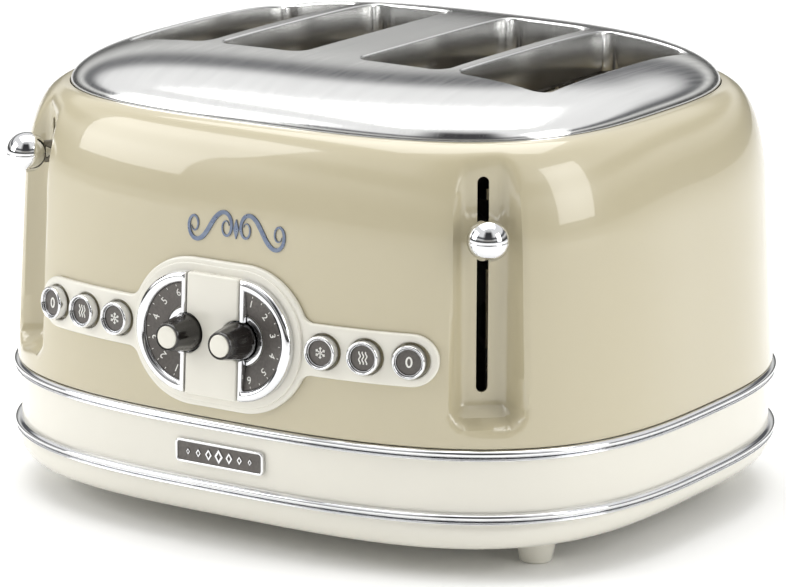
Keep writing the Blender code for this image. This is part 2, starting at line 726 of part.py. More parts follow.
def panel_outline():
    """The oval with its two wings, in (x, height from the panel's middle), anticlockwise."""
    radius, wing, fillet = OVAL_RADIUS, WING_HALF_HEIGHT, NECK_RADIUS
    middle = OVAL_HALF_WIDTH - OVAL_RADIUS
    turn = math.asin((wing + fillet) / (radius + fillet))
    reach = middle + (radius + fillet) * math.cos(turn)
    start = math.degrees(turn)
    right = arc((PANEL_HALF_WIDTH - wing, 0), wing, -90, 90, 8)
    neck = arc((reach, wing + fillet), fillet, 270, 180 + start, 3)
    quarter = arc((middle, 0), radius, start, 90, 6)[1:]
    upper = right[len(right) // 2 :] + neck + quarter
    half = upper + [(-x, z) for x, z in reversed(upper)]
    lower = [(x, -z) for x, z in reversed(half)]
    return half + lower[1:-1]


def oval_outline(radius, half_width, steps=8):
    middle = half_width - radius
    return arc((middle, 0), radius, -90, 90, steps) + arc((-middle, 0), radius, 90, 270, steps)


def curved_slab(bm, half_width, low, high, inner, outer, columns):
    """A slab that follows the body's front, between two distances out from it."""
    grid = []
    for out in (inner, outer):
        sheet = []
        for z in (low, (low + high) / 2, high):
            xs = [half_width * (2 * i / columns - 1) for i in range(columns + 1)]
            sheet.append([bm.verts.new(front_point(x, z, out)) for x in xs])
        grid.append(sheet)
    back, front = grid
    rows, last = len(front) - 1, columns
    for r in range(rows):
        for c in range(columns):
            bm.faces.new((front[r][c], front[r][c + 1], front[r + 1][c + 1], front[r + 1][c]))
            bm.faces.new((back[r][c], back[r + 1][c], back[r + 1][c + 1], back[r][c + 1]))
        bm.faces.new((back[r][0], front[r][0], front[r + 1][0], back[r + 1][0]))
        bm.faces.new((back[r][last], back[r + 1][last], front[r + 1][last], front[r][last]))
    for c in range(columns):
        bm.faces.new((back[0][c], back[0][c + 1], front[0][c + 1], front[0][c]))
        bm.faces.new((back[rows][c], front[rows][c], front[rows][c + 1], back[rows][c + 1]))


def upright(outline, low, high):
    """Turns a panel outline into a prism that runs along the depth, from y low to y high."""
    bm = bmesh.new()
    matrix = Matrix.Translation((0, 0, PANEL_Z)) @ Matrix.Rotation(math.radians(90), 4, "X")
    add_prism(bm, outline, -high, -low, matrix)
    return bm


def make_control_panel(parent):
    bm = bmesh.new()
    reach = OVAL_RADIUS + 3 * MM
    curved_slab(bm, PANEL_HALF_WIDTH + 3 * MM, PANEL_Z - reach, PANEL_Z + reach, GAP, GAP + PANEL_THICK, 16)
    panel = add_object("control_panel", bm, cream_plastic(), parent)
    outline = upright(panel_outline(), -HALF_DEPTH - 20 * MM, -HALF_DEPTH + 60 * MM)
    boolean(panel, add_object("panel_outline_block", outline, None, parent, True), "INTERSECT")
    middle = dial_frame(0)
    bm = bmesh.new()
    platform = oval_outline(OVAL_RADIUS - PLATFORM_MARGIN, OVAL_HALF_WIDTH - PLATFORM_MARGIN)
    add_prism(bm, platform, -PLATFORM_PROUD - PANEL_THICK / 2, 0, middle)
    boolean(panel, add_object("platform_block", bm, None, parent, True), "UNION")
    bm = bmesh.new()
    pillar = rounded_rectangle(DIAL_X - GAP, BEZEL_RADIUS, MM, 1)
    add_prism(bm, pillar, -PLATFORM_PROUD, PILLAR_RISE, middle)
    boolean(panel, add_object("pillar_block", bm, None, parent, True), "UNION")
    bm = bmesh.new()
    for _, side in SIDES:
        frame = dial_frame(side)
        pointer_top = GAP + POINTER_THICK + POINTER_CLEARANCE
        deep = -10 * MM
        profile = (
            (0, deep),
            (SHAFT_RADIUS + POINTER_CLEARANCE, deep),
            (SHAFT_RADIUS + POINTER_CLEARANCE, 0),
            (POINTER_RADIUS + POINTER_CLEARANCE, 0),
            (POINTER_RADIUS + POINTER_CLEARANCE, pointer_top),
            (KNOB_BASE_RADIUS + POINTER_CLEARANCE, pointer_top),
            (KNOB_BASE_RADIUS + POINTER_CLEARANCE, PILLAR_RISE + MM),
            (0, PILLAR_RISE + MM),
        )
        add_turned(bm, profile, 20, frame)
        for x in BUTTON_X:
            hole = cylinder(BUTTON_RADIUS + BUTTON_HOLE_CLEARANCE, -8 * MM, 6 * MM)
            add_turned(bm, hole, 12, button_frame(side * x))
    boolean(panel, add_object("panel_holes_cutter", bm, None, parent, True), "DIFFERENCE")
    smooth(panel)


def half_moon(radius, start, steps=12):
    """A half disc's outline about the dial's middle, cut straight at x = start."""
    edge = math.degrees(math.acos(start / radius))
    return arc((0, 0), radius, -edge, edge, steps)


def mirrored(outline, side):
    return outline if side > 0 else [(-x, y) for x, y in reversed(outline)]


def make_dial(side_name, side, parent):
    """Bezel and scale on the panel; knob, cap and pointer disc on the shaft."""
    frame = dial_frame(side)
    place = empty(f"dial_place_{side_name}", parent, frame)
    bm = bmesh.new()
    add_prism(bm, mirrored(half_moon(BEZEL_RADIUS, GAP), side), GAP, BEZEL_RISE)
    bezel = add_object(f"dial_bezel_{side_name}", bm, chrome(), place)
    bm = bmesh.new()
    add_prism(bm, mirrored(half_moon(WINDOW_RADIUS, BEZEL_BAR), side), 0, BEZEL_RISE + MM)
    boolean(bezel, add_object(f"window_cutter_{side_name}", bm, None, place, True), "DIFFERENCE")
    top = GAP + POINTER_THICK + POINTER_CLEARANCE
    profile = (
        (0, 0),
        (POINTER_RADIUS + POINTER_CLEARANCE, 0),
        (POINTER_RADIUS + POINTER_CLEARANCE, top),
        (KNOB_BASE_RADIUS + POINTER_CLEARANCE, top),
        (KNOB_BASE_RADIUS + POINTER_CLEARANCE, BEZEL_RISE + MM),
        (0, BEZEL_RISE + MM),
    )
    room = turned_object(f"knob_room_cutter_{side_name}", profile, 20, None, place, cutter=True)
    boolean(bezel, room, "DIFFERENCE")
    smooth(bezel)
    inner = POINTER_RADIUS + POINTER_CLEARANCE
    start = BEZEL_BAR + GAP
    outline = half_moon(WINDOW_RADIUS - GAP, start) + list(reversed(half_moon(inner, start, 8)))
    bm = bmesh.new()
    add_prism(bm, mirrored(outline, side), GAP, GAP + SCALE_THICK)
    add_object(f"dial_scale_{side_name}", bm, dark_dial(), place)
    make_dial_knob(side_name, frame, place)


def make_dial_knob(side_name, frame, place):
    end = (board_y() - SHAFT_END_GAP - frame.translation.y) / frame.col[2].y
    disc = ((0, end), (SHAFT_RADIUS, end), (SHAFT_RADIUS, GAP), (POINTER_RADIUS, GAP))
    disc += ((POINTER_RADIUS, GAP + POINTER_THICK), (0, GAP + POINTER_THICK))
    turned_object(f"pointer_disc_{side_name}", disc, 20, chrome(), place)
    base = 2 * GAP + POINTER_THICK
    seat = KNOB_TIP - CAP_THICK
    profile = (
        (0, base),
        (KNOB_BASE_RADIUS, base),
        (KNOB_BASE_RADIUS - 0.4 * MM, base + 6 * MM),
        (KNOB_TIP_RADIUS, KNOB_TIP - MM),
        (KNOB_TIP_RADIUS - 0.4 * MM, KNOB_TIP - 0.3 * MM),
        (CAP_RADIUS + GAP, KNOB_TIP - 0.3 * MM),
        (CAP_RADIUS + GAP, seat),
        (0, seat),
    )
    turned_object(f"dial_knob_{side_name}", profile, 20, black_plastic(), place)
    cap = ((0, seat + GAP), (CAP_RADIUS, seat + GAP), (CAP_RADIUS, KNOB_TIP - GAP))
    cap += ((CAP_RADIUS - 0.5 * MM, KNOB_TIP), (0, KNOB_TIP))
    turned_object(f"knob_cap_{side_name}", cap, 20, cream_plastic(), place)


def make_button(side_name, side, x, button_name, parent):
    place = empty(f"button_place_{button_name}_{side_name}", parent, button_frame(side * x))
    bore = BUTTON_FACE_RADIUS + GAP
    profile = (
        (0, -BUTTON_STEM_LENGTH),
        (BUTTON_STEM_RADIUS, -BUTTON_STEM_LENGTH),
        (BUTTON_STEM_RADIUS, -GAP),
        (BUTTON_RADIUS, -GAP),
        (BUTTON_RADIUS, BUTTON_RISE - MM),
        (BUTTON_RADIUS - 0.6 * MM, BUTTON_RISE),
        (bore + 0.3 * MM, BUTTON_RISE),
        (bore, BUTTON_RISE - 0.6 * MM),
        (bore, BUTTON_SEAT),
        (0, BUTTON_SEAT),
    )
    turned_object(f"button_ring_{button_name}_{side_name}", profile, 12, chrome(), place)
    low = BUTTON_SEAT + GAP
    face = cylinder(BUTTON_FACE_RADIUS, low, low + BUTTON_FACE_THICK)
    turned_object(f"button_face_{button_name}_{side_name}", face, 12, dark_dial(), place)


def make_badge(parent):
    """A plain plate on the band between the two rings."""
    xs = [BADGE_WIDTH / 2 * share for share in (-1, -0.5, 0, 0.5, 1)]
    outline = [(x, -band_y(x, GAP)) for x in reversed(xs)]
    outline += [(x, -band_y(x, GAP + BADGE_THICK)) for x in xs]
    bm = bmesh.new()
    add_prism(bm, outline, BADGE_Z - BADGE_HEIGHT / 2, BADGE_Z + BADGE_HEIGHT / 2)
    add_object("badge_plate", bm, chrome(), parent)


# ---------------------------------------------------------------- levers and carriages
def make_lever(side_name, side, parent):
    place = empty(f"lever_place_{side_name}", parent, lever_frame(side, LEVER_REST[side_name]))
    bm = bmesh.new()
    bmesh.ops.create_uvsphere(bm, u_segments=16, v_segments=12, radius=BALL_RADIUS)
    ball = add_object(f"lever_knob_{side_name}", bm, chrome(), place)
    socket = BLADE_THICK / 2 + GAP
    low = (-BALL_RADIUS - MM, -socket, -BLADE_HEIGHT / 2 - GAP)
    high = (-BALL_RADIUS + BALL_SOCKET, socket, BLADE_HEIGHT / 2 + GAP)
    cutter = box_object(f"socket_cutter_{side_name}", low, high, None, place, True)
    boolean(ball, cutter, "DIFFERENCE")
    smooth(ball)
    half = BLADE_THICK / 2
    slope = side * half * OUTWARD.x / OUTWARD.y
    start = -BALL_RADIUS + BALL_SOCKET - GAP
    back = -blade_length()
    outline = ((back + slope, -half), (start, -half), (start, half), (back - slope, half))
    bm = bmesh.new()
    add_prism(bm, outline, -BLADE_HEIGHT / 2, BLADE_HEIGHT / 2)
    add_object(f"lever_arm_{side_name}", bm, sheet_steel(), place)


def make_carriage(side_name, side, parent):
    """Plate, guide bush, armature and two bread lifts with their arms, in one pressed and welded piece."""
    lift = LEVER_REST[side_name] - LIFT_BELOW_LEVER
    place = empty(f"carriage_place_{side_name}", parent, Matrix.Translation((0, 0, lift)))
    blade_x = lever_middle(1, 0).x - OUTWARD.x * blade_length()
    plate_in = min(SLOT_MIDDLES[0], blade_x) - PLATE_MARGIN
    plate_out = max(SLOT_MIDDLES[1], blade_x) + PLATE_MARGIN
    x_low, x_high = sorted((side * plate_in, side * plate_out))
    low = (x_low, PLATE_FRONT, -PLATE_BELOW)
    carriage = box_object(f"carriage_{side_name}", low, (x_high, PLATE_Y, PLATE_ABOVE), sheet_steel(), place)
    joint = PLATE_Y - PLATE_THICK / 2
    rod_x = side * ROD_X
    magnet_x = side * (ROD_X + MAGNET_ASIDE)
    spring_x = side * (ROD_X - SPRING_ASIDE)
    spring_half = SPRING_RADIUS + SPRING_WIRE
    seat_bottom = BUSH_HEIGHT - SPRING_SEAT_THICK
    armature_top = ARMATURE_ABOVE_LIFT + ARMATURE_THICK
    front = ROD_Y - BUSH_HALF
    boxes = {
        "bush": ((rod_x - BUSH_HALF, front, 0), (rod_x + BUSH_HALF, joint, BUSH_HEIGHT)),
        "spring_seat": ((spring_x - spring_half, front, seat_bottom), (spring_x + spring_half, joint, BUSH_HEIGHT)),
        "armature": (
            (magnet_x - MAGNET_WIDTH / 2, front, ARMATURE_ABOVE_LIFT),
            (magnet_x + MAGNET_WIDTH / 2, joint, armature_top),
        ),
    }
    for index, middle in enumerate(SLOT_MIDDLES):
        x, half = side * middle, ARM_WIDTH / 2
        boxes[f"arm_{index}"] = ((x - half, joint, 0), (x + half, GUIDE_FRONT + ARM_HEIGHT, ARM_HEIGHT))
        half = LIFT_WIDTH / 2
        boxes[f"lift_{index}"] = ((x - half, GUIDE_FRONT, -LIFT_THICK / 2), (x + half, GUIDE_BACK, LIFT_THICK / 2))
    for name, (low, high) in boxes.items():
        boolean(carriage, box_object(f"{name}_block_{side_name}", low, high, None, place, True), "UNION")
    bm = bmesh.new()
    bore = cylinder(ROD_RADIUS + GAP, -MM, BUSH_HEIGHT + MM)
    add_turned(bm, bore, 12, Matrix.Translation((rod_x, ROD_Y, 0)))
    boolean(carriage, add_object(f"bush_bore_cutter_{side_name}", bm, None, place, True), "DIFFERENCE")


def make_spring(side_name, side, parent):
    """A return spring from the carriage plate's top edge up to the chamber's top shelf."""
    low = LEVER_REST[side_name] - LIFT_BELOW_LEVER + BUSH_HEIGHT + SPRING_WIRE + GAP
    high = CHAMBER_TOP - CHAMBER_WALL - SPRING_WIRE - GAP
    per_turn = 8
    count = SPRING_TURNS * per_turn
    curve = bpy.data.curves.new(f"carriage_spring_{side_name}", "CURVE")
    curve.dimensions = "3D"
    curve.bevel_depth = SPRING_WIRE / 2
    curve.bevel_resolution = 0
    curve.use_fill_caps = True
    spline = curve.splines.new("POLY")
    spline.points.add(count)
    for i in range(count + 1):
        turn = 2 * math.pi * i / per_turn
        x = side * (ROD_X - SPRING_ASIDE) + SPRING_RADIUS * math.cos(turn)
        y = ROD_Y + SPRING_RADIUS * math.sin(turn)
        spline.points[i].co = (x, y, low + (high - low) * i / count, 1)
    spring = bpy.data.objects.new(f"carriage_spring_{side_name}", curve)
    curve.materials.append(sheet_steel())
    bpy.context.scene.collection.objects.link(spring)
    spring.parent = parent


# ---------------------------------------------------------------- toasting modules
def make_chamber(side_name, side, parent):
    """A steel box round two slots, open below, with slots for the lift arms and two shelves in front."""
    x_low, x_high = sorted((side * MODULE_INNER, side * MODULE_OUTER))
    wall = CHAMBER_WALL
    low, high = (x_low, CHAMBER_FRONT, CHAMBER_BOTTOM), (x_high, CHAMBER_BACK, CHAMBER_TOP)
    chamber = box_object(f"toast_chamber_{side_name}", low, high, sheet_steel(), parent)
    half = SHELF_WIDTH / 2
    for name, z in (("top", CHAMBER_TOP - wall), ("bottom", CHAMBER_BOTTOM)):
        low = (side * ROD_X - half, CHAMBER_FRONT - SHELF_DEPTH, z)
        high = (side * ROD_X + half, CHAMBER_FRONT + wall / 2, z + wall)
        boolean(chamber, box_object(f"shelf_{name}_{side_name}", low, high, None, parent, True), "UNION")
    bm = bmesh.new()
    low = (x_low + wall, CHAMBER_FRONT + wall, CHAMBER_BOTTOM - MM)
    add_box(bm, low, (x_high - wall, CHAMBER_BACK - wall, CHAMBER_TOP - wall))
    boolean(chamber, add_object(f"chamber_cutter_{side_name}", bm, None, parent, True), "DIFFERENCE")
    bm = bmesh.new()
    outline = slot_outline(FLANGE_WALL + GAP)
    for x in SLOT_MIDDLES:
        place = Matrix.Translation((side * x, SLOT_MIDDLE_Y, 0))
        add_prism(bm, outline, CHAMBER_TOP - 3 * wall, CHAMBER_TOP + MM, place)
    boolean(chamber, add_object(f"mouth_cutter_{side_name}", bm, None, parent, True), "DIFFERENCE")
    bm = bmesh.new()
    half = ARM_WIDTH / 2 + ARM_CLEARANCE
    low_z = LEVER_LOW - LIFT_BELOW_LEVER - ARM_CLEARANCE - LIFT_THICK
    high_z = LEVER_HIGH - LIFT_BELOW_LEVER + ARM_HEIGHT + ARM_CLEARANCE
    for x in SLOT_MIDDLES:
        low = (side * x - half, CHAMBER_FRONT - MM, low_z)
        add_box(bm, low, (side * x + half, CHAMBER_FRONT + 2 * wall, high_z))
    boolean(chamber, add_object(f"arm_way_cutter_{side_name}", bm, None, parent, True), "DIFFERENCE")


def make_heaters(side_name, side, parent):
    """Mica boards beside and between the two slots, held between the chamber's end walls."""
    half = HEATER_THICK / 2
    edges = SLOT_FIRST_EDGE, SLOT_FIRST_EDGE + SLOT_PITCH + SLOT_WIDTH
    bar = (SLOT_FIRST_EDGE + SLOT_WIDTH + SLOT_FIRST_EDGE + SLOT_PITCH) / 2
    places = {"inner": edges[0] - HEATER_STANDOFF, "middle": bar, "outer": edges[1] + HEATER_STANDOFF}
    for name, x in places.items():
        low = (side * x - half, CHAMBER_FRONT + CHAMBER_WALL + GAP, CHAMBER_BOTTOM + HEATER_FROM_BOTTOM)
        high = (side * x + half, CHAMBER_BACK - CHAMBER_WALL - GAP, CHAMBER_TOP - HEATER_FROM_TOP)
        box_object(f"heater_board_{name}_{side_name}", low, high, mica(), parent)


def grid_boxes(slot_x):
    """Boxes of one wire grid: a top and a bottom rail along the slot with upright wires between them."""
    half = WIRE / 2
    boxes = []
    for z in (GUIDE_LOW, GUIDE_TOP):
        boxes.append(((slot_x - half, GUIDE_FRONT, z - half), (slot_x + half, GUIDE_BACK, z + half)))
    for i in range(GUIDE_WIRES):
        y = GUIDE_FRONT + half + (GUIDE_BACK - GUIDE_FRONT - WIRE) * i / (GUIDE_WIRES - 1)
        boxes.append(((slot_x - half, y - half, GUIDE_LOW - half / 2), (slot_x + half, y + half, GUIDE_TOP + half / 2)))
    return boxes


def make_guides(side_name, side, parent):
    """Two linked wire cages in each module: one closes towards +X on both slots, the other towards -X."""
    home = LEVER_REST[side_name] - LEVER_REST["right"]
    inset = GUIDE_INSET - home * GUIDE_PER_LEVER
    for way_name, way in (("plus", 1), ("minus", -1)):
        name = f"bread_guide_{way_name}_{side_name}"
        xs = [side * x - way * (SLOT_WIDTH / 2 - inset) for x in SLOT_MIDDLES]
        boxes = [box for x in xs for box in grid_boxes(x)]
        half = WIRE / 2
        link = CHAMBER_BOTTOM + LINK_FROM_BOTTOM
        inward = half if way > 0 else half + LINK_SIDESTEP
        for y in (GUIDE_FRONT + inward, GUIDE_BACK - inward):
            low = (min(xs) - half, y - half, link - half)
            boxes.append((low, (max(xs) + half, y + half, link + half)))
            for x in xs:
                foot = (x - half, y - half, link - half / 2)
                boxes.append((foot, (x + half, y + half, GUIDE_LOW)))
        first, *others = boxes
        guide = box_object(name, *first, sheet_steel(), parent)
        for index, box in enumerate(others):
            boolean(guide, box_object(f"{name}_wire_{index}", *box, None, parent, True), "UNION")


def make_rod_and_magnet(side_name, side, parent):
    low, high = CHAMBER_BOTTOM + CHAMBER_WALL + GAP, CHAMBER_TOP - CHAMBER_WALL - GAP
    place = Matrix.Translation((side * ROD_X, ROD_Y, 0))
    turned_object(f"guide_rod_{side_name}", cylinder(ROD_RADIUS, low, high), 12, chrome(), parent, place)
    x = side * (ROD_X + MAGNET_ASIDE)
    lowest = LEVER_LOW - LIFT_BELOW_LEVER + ARMATURE_ABOVE_LIFT
    half = MAGNET_WIDTH / 2
    near = (x - half, ROD_Y - MAGNET_DEPTH / 2, low)
    far = (x + half, ROD_Y + MAGNET_DEPTH / 2, lowest - LATCH_GAP)
    box_object(f"latch_magnet_{side_name}", near, far, black_plastic(), parent)


def tray_outline(wall):
    half = TRAY_HALF_WIDTH - wall
    front = CHAMBER_FRONT + TRAY_CLEARANCE + wall
    xs = [half * (1 - i / 4) for i in range(9)]
    return [(-half, front), (half, front)] + [(x, band_y(x, -wall)) for x in xs]


def make_crumb_tray(parent):
    """A shallow tray under both chambers. Its rear wall fills the mouth in the band and has a finger grip."""
    bm = bmesh.new()
    add_prism(bm, tray_outline(0), TRAY_BOTTOM, TRAY_TOP)
    tray = add_object("crumb_tray", bm, sheet_steel(), parent)
    bm = bmesh.new()
    add_prism(bm, tray_outline(TRAY_WALL), TRAY_BOTTOM + TRAY_WALL, TRAY_TOP + MM)
    boolean(tray, add_object("tray_hollow_cutter", bm, None, parent, True), "DIFFERENCE")
    middle = TRAY_BOTTOM + TRAY_HEIGHT / 2
    low = (-GRIP_HALF_WIDTH, band_y(GRIP_HALF_WIDTH, -TRAY_WALL / 2), middle - GRIP_THICK / 2)
    high = (GRIP_HALF_WIDTH, BAND_B + TRAY_GRIP, middle + GRIP_THICK / 2)
    boolean(tray, box_object("grip_block", low, high, None, parent, True), "UNION")


def board_y():
    """The control board's front face, behind the shell where the board's ends come nearest to it."""
    return front_point(BOARD_HALF_WIDTH, PANEL_Z).y + SHELL_WALL + BOARD_BEHIND_SHELL


def make_control_board(parent):
    half = BOARD_HEIGHT / 2
    low = (-BOARD_HALF_WIDTH, board_y(), PANEL_Z - half)
    high = (BOARD_HALF_WIDTH, board_y() + BOARD_THICK, PANEL_Z + half)
    box_object("control_board", low, high, green_board(), parent)


def gland_frame():
    """Placement on the middle of the body's back: local +Z out to the rear."""
    _, b, _ = shell_plan(GLAND_Z)
    return facing_front(Vector((0, b, GLAND_Z)), Vector((0, 1, 0)))


def make_cord_gland(parent):
    bm = bmesh.new()
    profile = (
        (GLAND_BORE_RADIUS, -GLAND_INSIDE),
        (GLAND_NECK_RADIUS, -GLAND_INSIDE),
        (GLAND_NECK_RADIUS, 2 * GAP),
        (GLAND_FLANGE_RADIUS, 2 * GAP),
        (GLAND_FLANGE_RADIUS - MM, GLAND_PROUD),
        (GLAND_BORE_RADIUS, GLAND_PROUD),
        (GLAND_BORE_RADIUS, -GLAND_INSIDE),
    )
    add_turned(bm, profile, 16, gland_frame())
    bmesh.ops.remove_doubles(bm, verts=bm.verts, dist=1e-6)
    smooth(add_object("cord_gland", bm, black_plastic(), parent))


def overall_middle_y():
    """Where the body's middle stands, so that the whole toaster is centred on the origin."""
    normal = front_normal(0, PANEL_Z)
    tip = front_point(0, PANEL_Z, GAP + PANEL_THICK + PLATFORM_PROUD) + normal * KNOB_TIP
    side = Vector((0, normal.z, -normal.y)) * (CAP_RADIUS - 0.5 * MM)
    front = min((tip + side).y, (tip - side).y)
    rear = BAND_B + TRAY_GRIP
    return -(front + rear) / 2


def main():
    clear_scene()
    toaster = empty("toaster", None, Matrix.Translation((0, overall_middle_y(), 0)))
    make_base_housing(toaster)
    make_trim_ring("trim_ring_lower", LOWER_RING_Z, toaster)
    make_trim_ring("trim_ring_upper", UPPER_RING_Z, toaster)
    make_feet(toaster)
    make_body_shell(toaster)
    make_top_cover(toaster)
    make_control_panel(toaster)
    make_badge(toaster)
    make_crumb_tray(toaster)
    make_control_board(toaster)
    make_cord_gland(toaster)
    for side_name, side in SIDES:
        make_dial(side_name, side, toaster)
        for x, button_name in zip(BUTTON_X, BUTTON_NAMES):
            make_button(side_name, side, x, button_name, toaster)
        make_lever(side_name, side, toaster)
        make_carriage(side_name, side, toaster)
        make_spring(side_name, side, toaster)
        make_chamber(side_name, side, toaster)
        make_heaters(side_name, side, toaster)
        make_guides(side_name, side, toaster)
        make_rod_and_magnet(side_name, side, toaster)


main()
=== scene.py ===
# %% [markdown]
# # A four-slice toaster in a rounded, enamelled body
# The real one is a drawn steel body, sprayed and baked, with a brushed steel cover on top and a
# moulded base below, held between two chrome beads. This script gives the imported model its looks:
# it makes finer surfaces in the same places, a material for every finish, and the studio.

# %% Load the fixed frame
import json
import math
import bmesh
import bpy
import numpy as np
from mathutils import Matrix, Vector
from mathutils.geometry import delaunay_2d_cdt

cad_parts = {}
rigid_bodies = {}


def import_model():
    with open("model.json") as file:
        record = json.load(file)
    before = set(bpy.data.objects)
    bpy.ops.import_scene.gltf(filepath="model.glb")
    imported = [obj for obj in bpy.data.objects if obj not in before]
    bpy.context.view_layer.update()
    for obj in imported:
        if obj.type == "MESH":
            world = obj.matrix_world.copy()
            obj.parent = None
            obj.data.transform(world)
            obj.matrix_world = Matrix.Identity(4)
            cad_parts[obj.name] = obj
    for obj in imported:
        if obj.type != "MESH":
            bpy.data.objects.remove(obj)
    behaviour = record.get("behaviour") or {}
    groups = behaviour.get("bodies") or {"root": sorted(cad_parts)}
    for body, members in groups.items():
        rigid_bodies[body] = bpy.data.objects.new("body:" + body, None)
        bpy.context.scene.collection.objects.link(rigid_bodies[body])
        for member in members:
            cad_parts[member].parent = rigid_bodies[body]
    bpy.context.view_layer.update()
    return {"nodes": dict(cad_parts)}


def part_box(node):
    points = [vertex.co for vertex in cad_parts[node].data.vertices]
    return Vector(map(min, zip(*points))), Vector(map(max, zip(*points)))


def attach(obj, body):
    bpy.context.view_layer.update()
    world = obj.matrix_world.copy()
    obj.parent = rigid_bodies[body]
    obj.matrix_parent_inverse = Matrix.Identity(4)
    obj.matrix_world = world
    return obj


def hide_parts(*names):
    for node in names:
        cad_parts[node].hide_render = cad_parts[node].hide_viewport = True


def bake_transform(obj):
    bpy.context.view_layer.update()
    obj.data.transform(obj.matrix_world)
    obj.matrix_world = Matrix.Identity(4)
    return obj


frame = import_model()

MM = 0.001
SIDES = (("left", -1), ("right", 1))

# %% [markdown]
# ## Small tools for nodes
# A material and a Geometry Nodes tree are both graphs. One function adds a node, sets its options
# and either links or fills its inputs, so that each graph below reads like a list of its steps.
# Colours are written as sRGB hex values, as a paint chart has them, and made linear here.

# %% Node and colour helpers
def add_node(tree, kind, inputs=None, **settings):
    node = tree.nodes.new(kind)
    for key, value in settings.items():
        setattr(node, key, value)
    for key, value in (inputs or {}).items():
        if isinstance(value, bpy.types.NodeSocket):
            tree.links.new(value, node.inputs[key])
        else:
            node.inputs[key].default_value = value
    return node


def colour(hex_code):
    """An sRGB hex code as the linear colour that a socket takes."""
    parts = [int(hex_code[i : i + 2], 16) / 255 for i in (1, 3, 5)]
    return (*[c / 12.92 if c <= 0.04045 else ((c + 0.055) / 1.055) ** 2.4 for c in parts], 1)


def new_finish(name, constants):
    """A material with its Principled shader's constant inputs set."""
    finish = bpy.data.materials.new(name)
    finish.use_nodes = True
    shader = finish.node_tree.nodes["Principled BSDF"]
    for key, value in constants.items():
        shader.inputs[key].default_value = value
    return finish, finish.node_tree, shader


def noise_on_object(tree, size, detail=3, stretch=(1, 1, 1)):
    """Noise on object coordinates. size is a feature's width in metres, stretch its length each way."""
    place = add_node(tree, "ShaderNodeTexCoord").outputs["Object"]
    scale = tuple(1 / (size * s) for s in stretch)
    mapped = add_node(tree, "ShaderNodeMapping", {"Vector": place, "Scale": scale})
    inputs = {"Vector": mapped.outputs["Vector"], "Scale": 1, "Detail": detail}
    return add_node(tree, "ShaderNodeTexNoise", inputs).outputs["Fac"]


def two_tone(tree, factor, low, high, start=0.3, end=0.7):
    """A ramp between two sRGB colours over a noise's useful middle range."""
    ramp = add_node(tree, "ShaderNodeValToRGB", {"Fac": factor})
    first, last = ramp.color_ramp.elements
    first.position, first.color = start, colour(low)
    last.position, last.color = end, colour(high)
    return ramp.outputs["Color"]


def spread(tree, factor, low, high, start=0.3, end=0.7):
    """Maps a noise's useful middle range to low..high."""
    inputs = {"Value": factor, "From Min": start, "From Max": end, "To Min": low, "To Max": high}
    return add_node(tree, "ShaderNodeMapRange", inputs).outputs["Result"]


def give_bump(tree, shader, height, depth):
    """Bump on the shader's own normal; depth is the real height of the relief in metres."""
    inputs = {"Height": height, "Distance": depth, "Strength": 1.0}
    bump = add_node(tree, "ShaderNodeBump", inputs)
    tree.links.new(bump.outputs["Normal"], shader.inputs["Normal"])


# %% [markdown]
# ## Enamel, plastics and print
# The body is deep-drawn steel with a baked enamel. Paint levels itself while wet and keeps a faint
# orange peel a few millimetres across; under it the colour is even. A clear coat on a slightly
# rougher base gives the eye both the sharp and the soft part of that shine. The cream mouldings are
# ABS from a polished tool: a little softer in gloss, with a hint of flow in the colour.

# %% Painted and moulded finishes
def clouded(name, constants, tone, gloss, relief=None, detail=3, ends=(0.3, 0.7)):
    """A finish whose tone and roughness drift with noise, sometimes with a relief.

    tone and gloss are (feature in mm, low, high); relief is (feature in mm, detail, depth in mm).
    """
    finish, tree, shader = new_finish(name, constants)
    size, low, high = tone
    shade = two_tone(tree, noise_on_object(tree, size * MM, detail), low, high, *ends)
    tree.links.new(shade, shader.inputs["Base Color"])
    size, low, high = gloss
    roughness = spread(tree, noise_on_object(tree, size * MM, detail), low, high, *ends)
    tree.links.new(roughness, shader.inputs["Roughness"])
    if relief:
        size, relief_detail, depth = relief
        give_bump(tree, shader, noise_on_object(tree, size * MM, relief_detail), depth * MM)
    return finish


# Baked enamel on drawn steel: mirror-like clear layer, soft colour below, faint orange peel.
enamel = clouded(
    "beige_baked_enamel", {"Coat Weight": 1.0, "Coat Roughness": 0.035, "Coat IOR": 1.5},
    (120, "#B5AC90", "#B9B094"), (60, 0.28, 0.32), (3.2, 1, 0.004), 1, (0.2, 0.8),
)
# ABS moulded in a polished tool: satin gloss, the colour barely cloudy from its flow.
cream = clouded(
    "cream_moulded_abs", {"Coat Weight": 0.4, "Coat Roughness": 0.12},
    (80, "#D9D6CB", "#DDDACF"), (40, 0.22, 0.27), (1.1, 2, 0.003), 1, (0.2, 0.8),
)
# Pressed phenolic of the knobs: near black, polished, with soft handling marks.
phenolic = clouded(
    "black_pressed_phenolic", {"Coat Weight": 0.5, "Coat Roughness": 0.08},
    (6, "#14110F", "#1D1917"), (3, 0.16, 0.3),
)
# Moulded nylon with a spark-eroded grain, for the cord gland and the magnets' covers.
nylon = clouded(
    "black_grained_nylon", {"Specular IOR Level": 0.4},
    (8, "#1A1A1A", "#242423"), (0.5, 0.42, 0.6), (0.5, 2, 0.03),
)
# Dark satin lacquer on the scales and button discs, with a fine metallic mottle.
lacquer = clouded(
    "dark_grey_satin_lacquer", {"Metallic": 0.35}, (1.2, "#56524F", "#625E5A"), (2, 0.28, 0.42)
)
# Die-cast ornament, plated and toned blue-grey: polished high spots, darker in between.
pewter = clouded(
    "blue_grey_cast_ornament", {"Metallic": 0.75}, (2.5, "#66718A", "#808A9B"), (1.5, 0.25, 0.4)
)
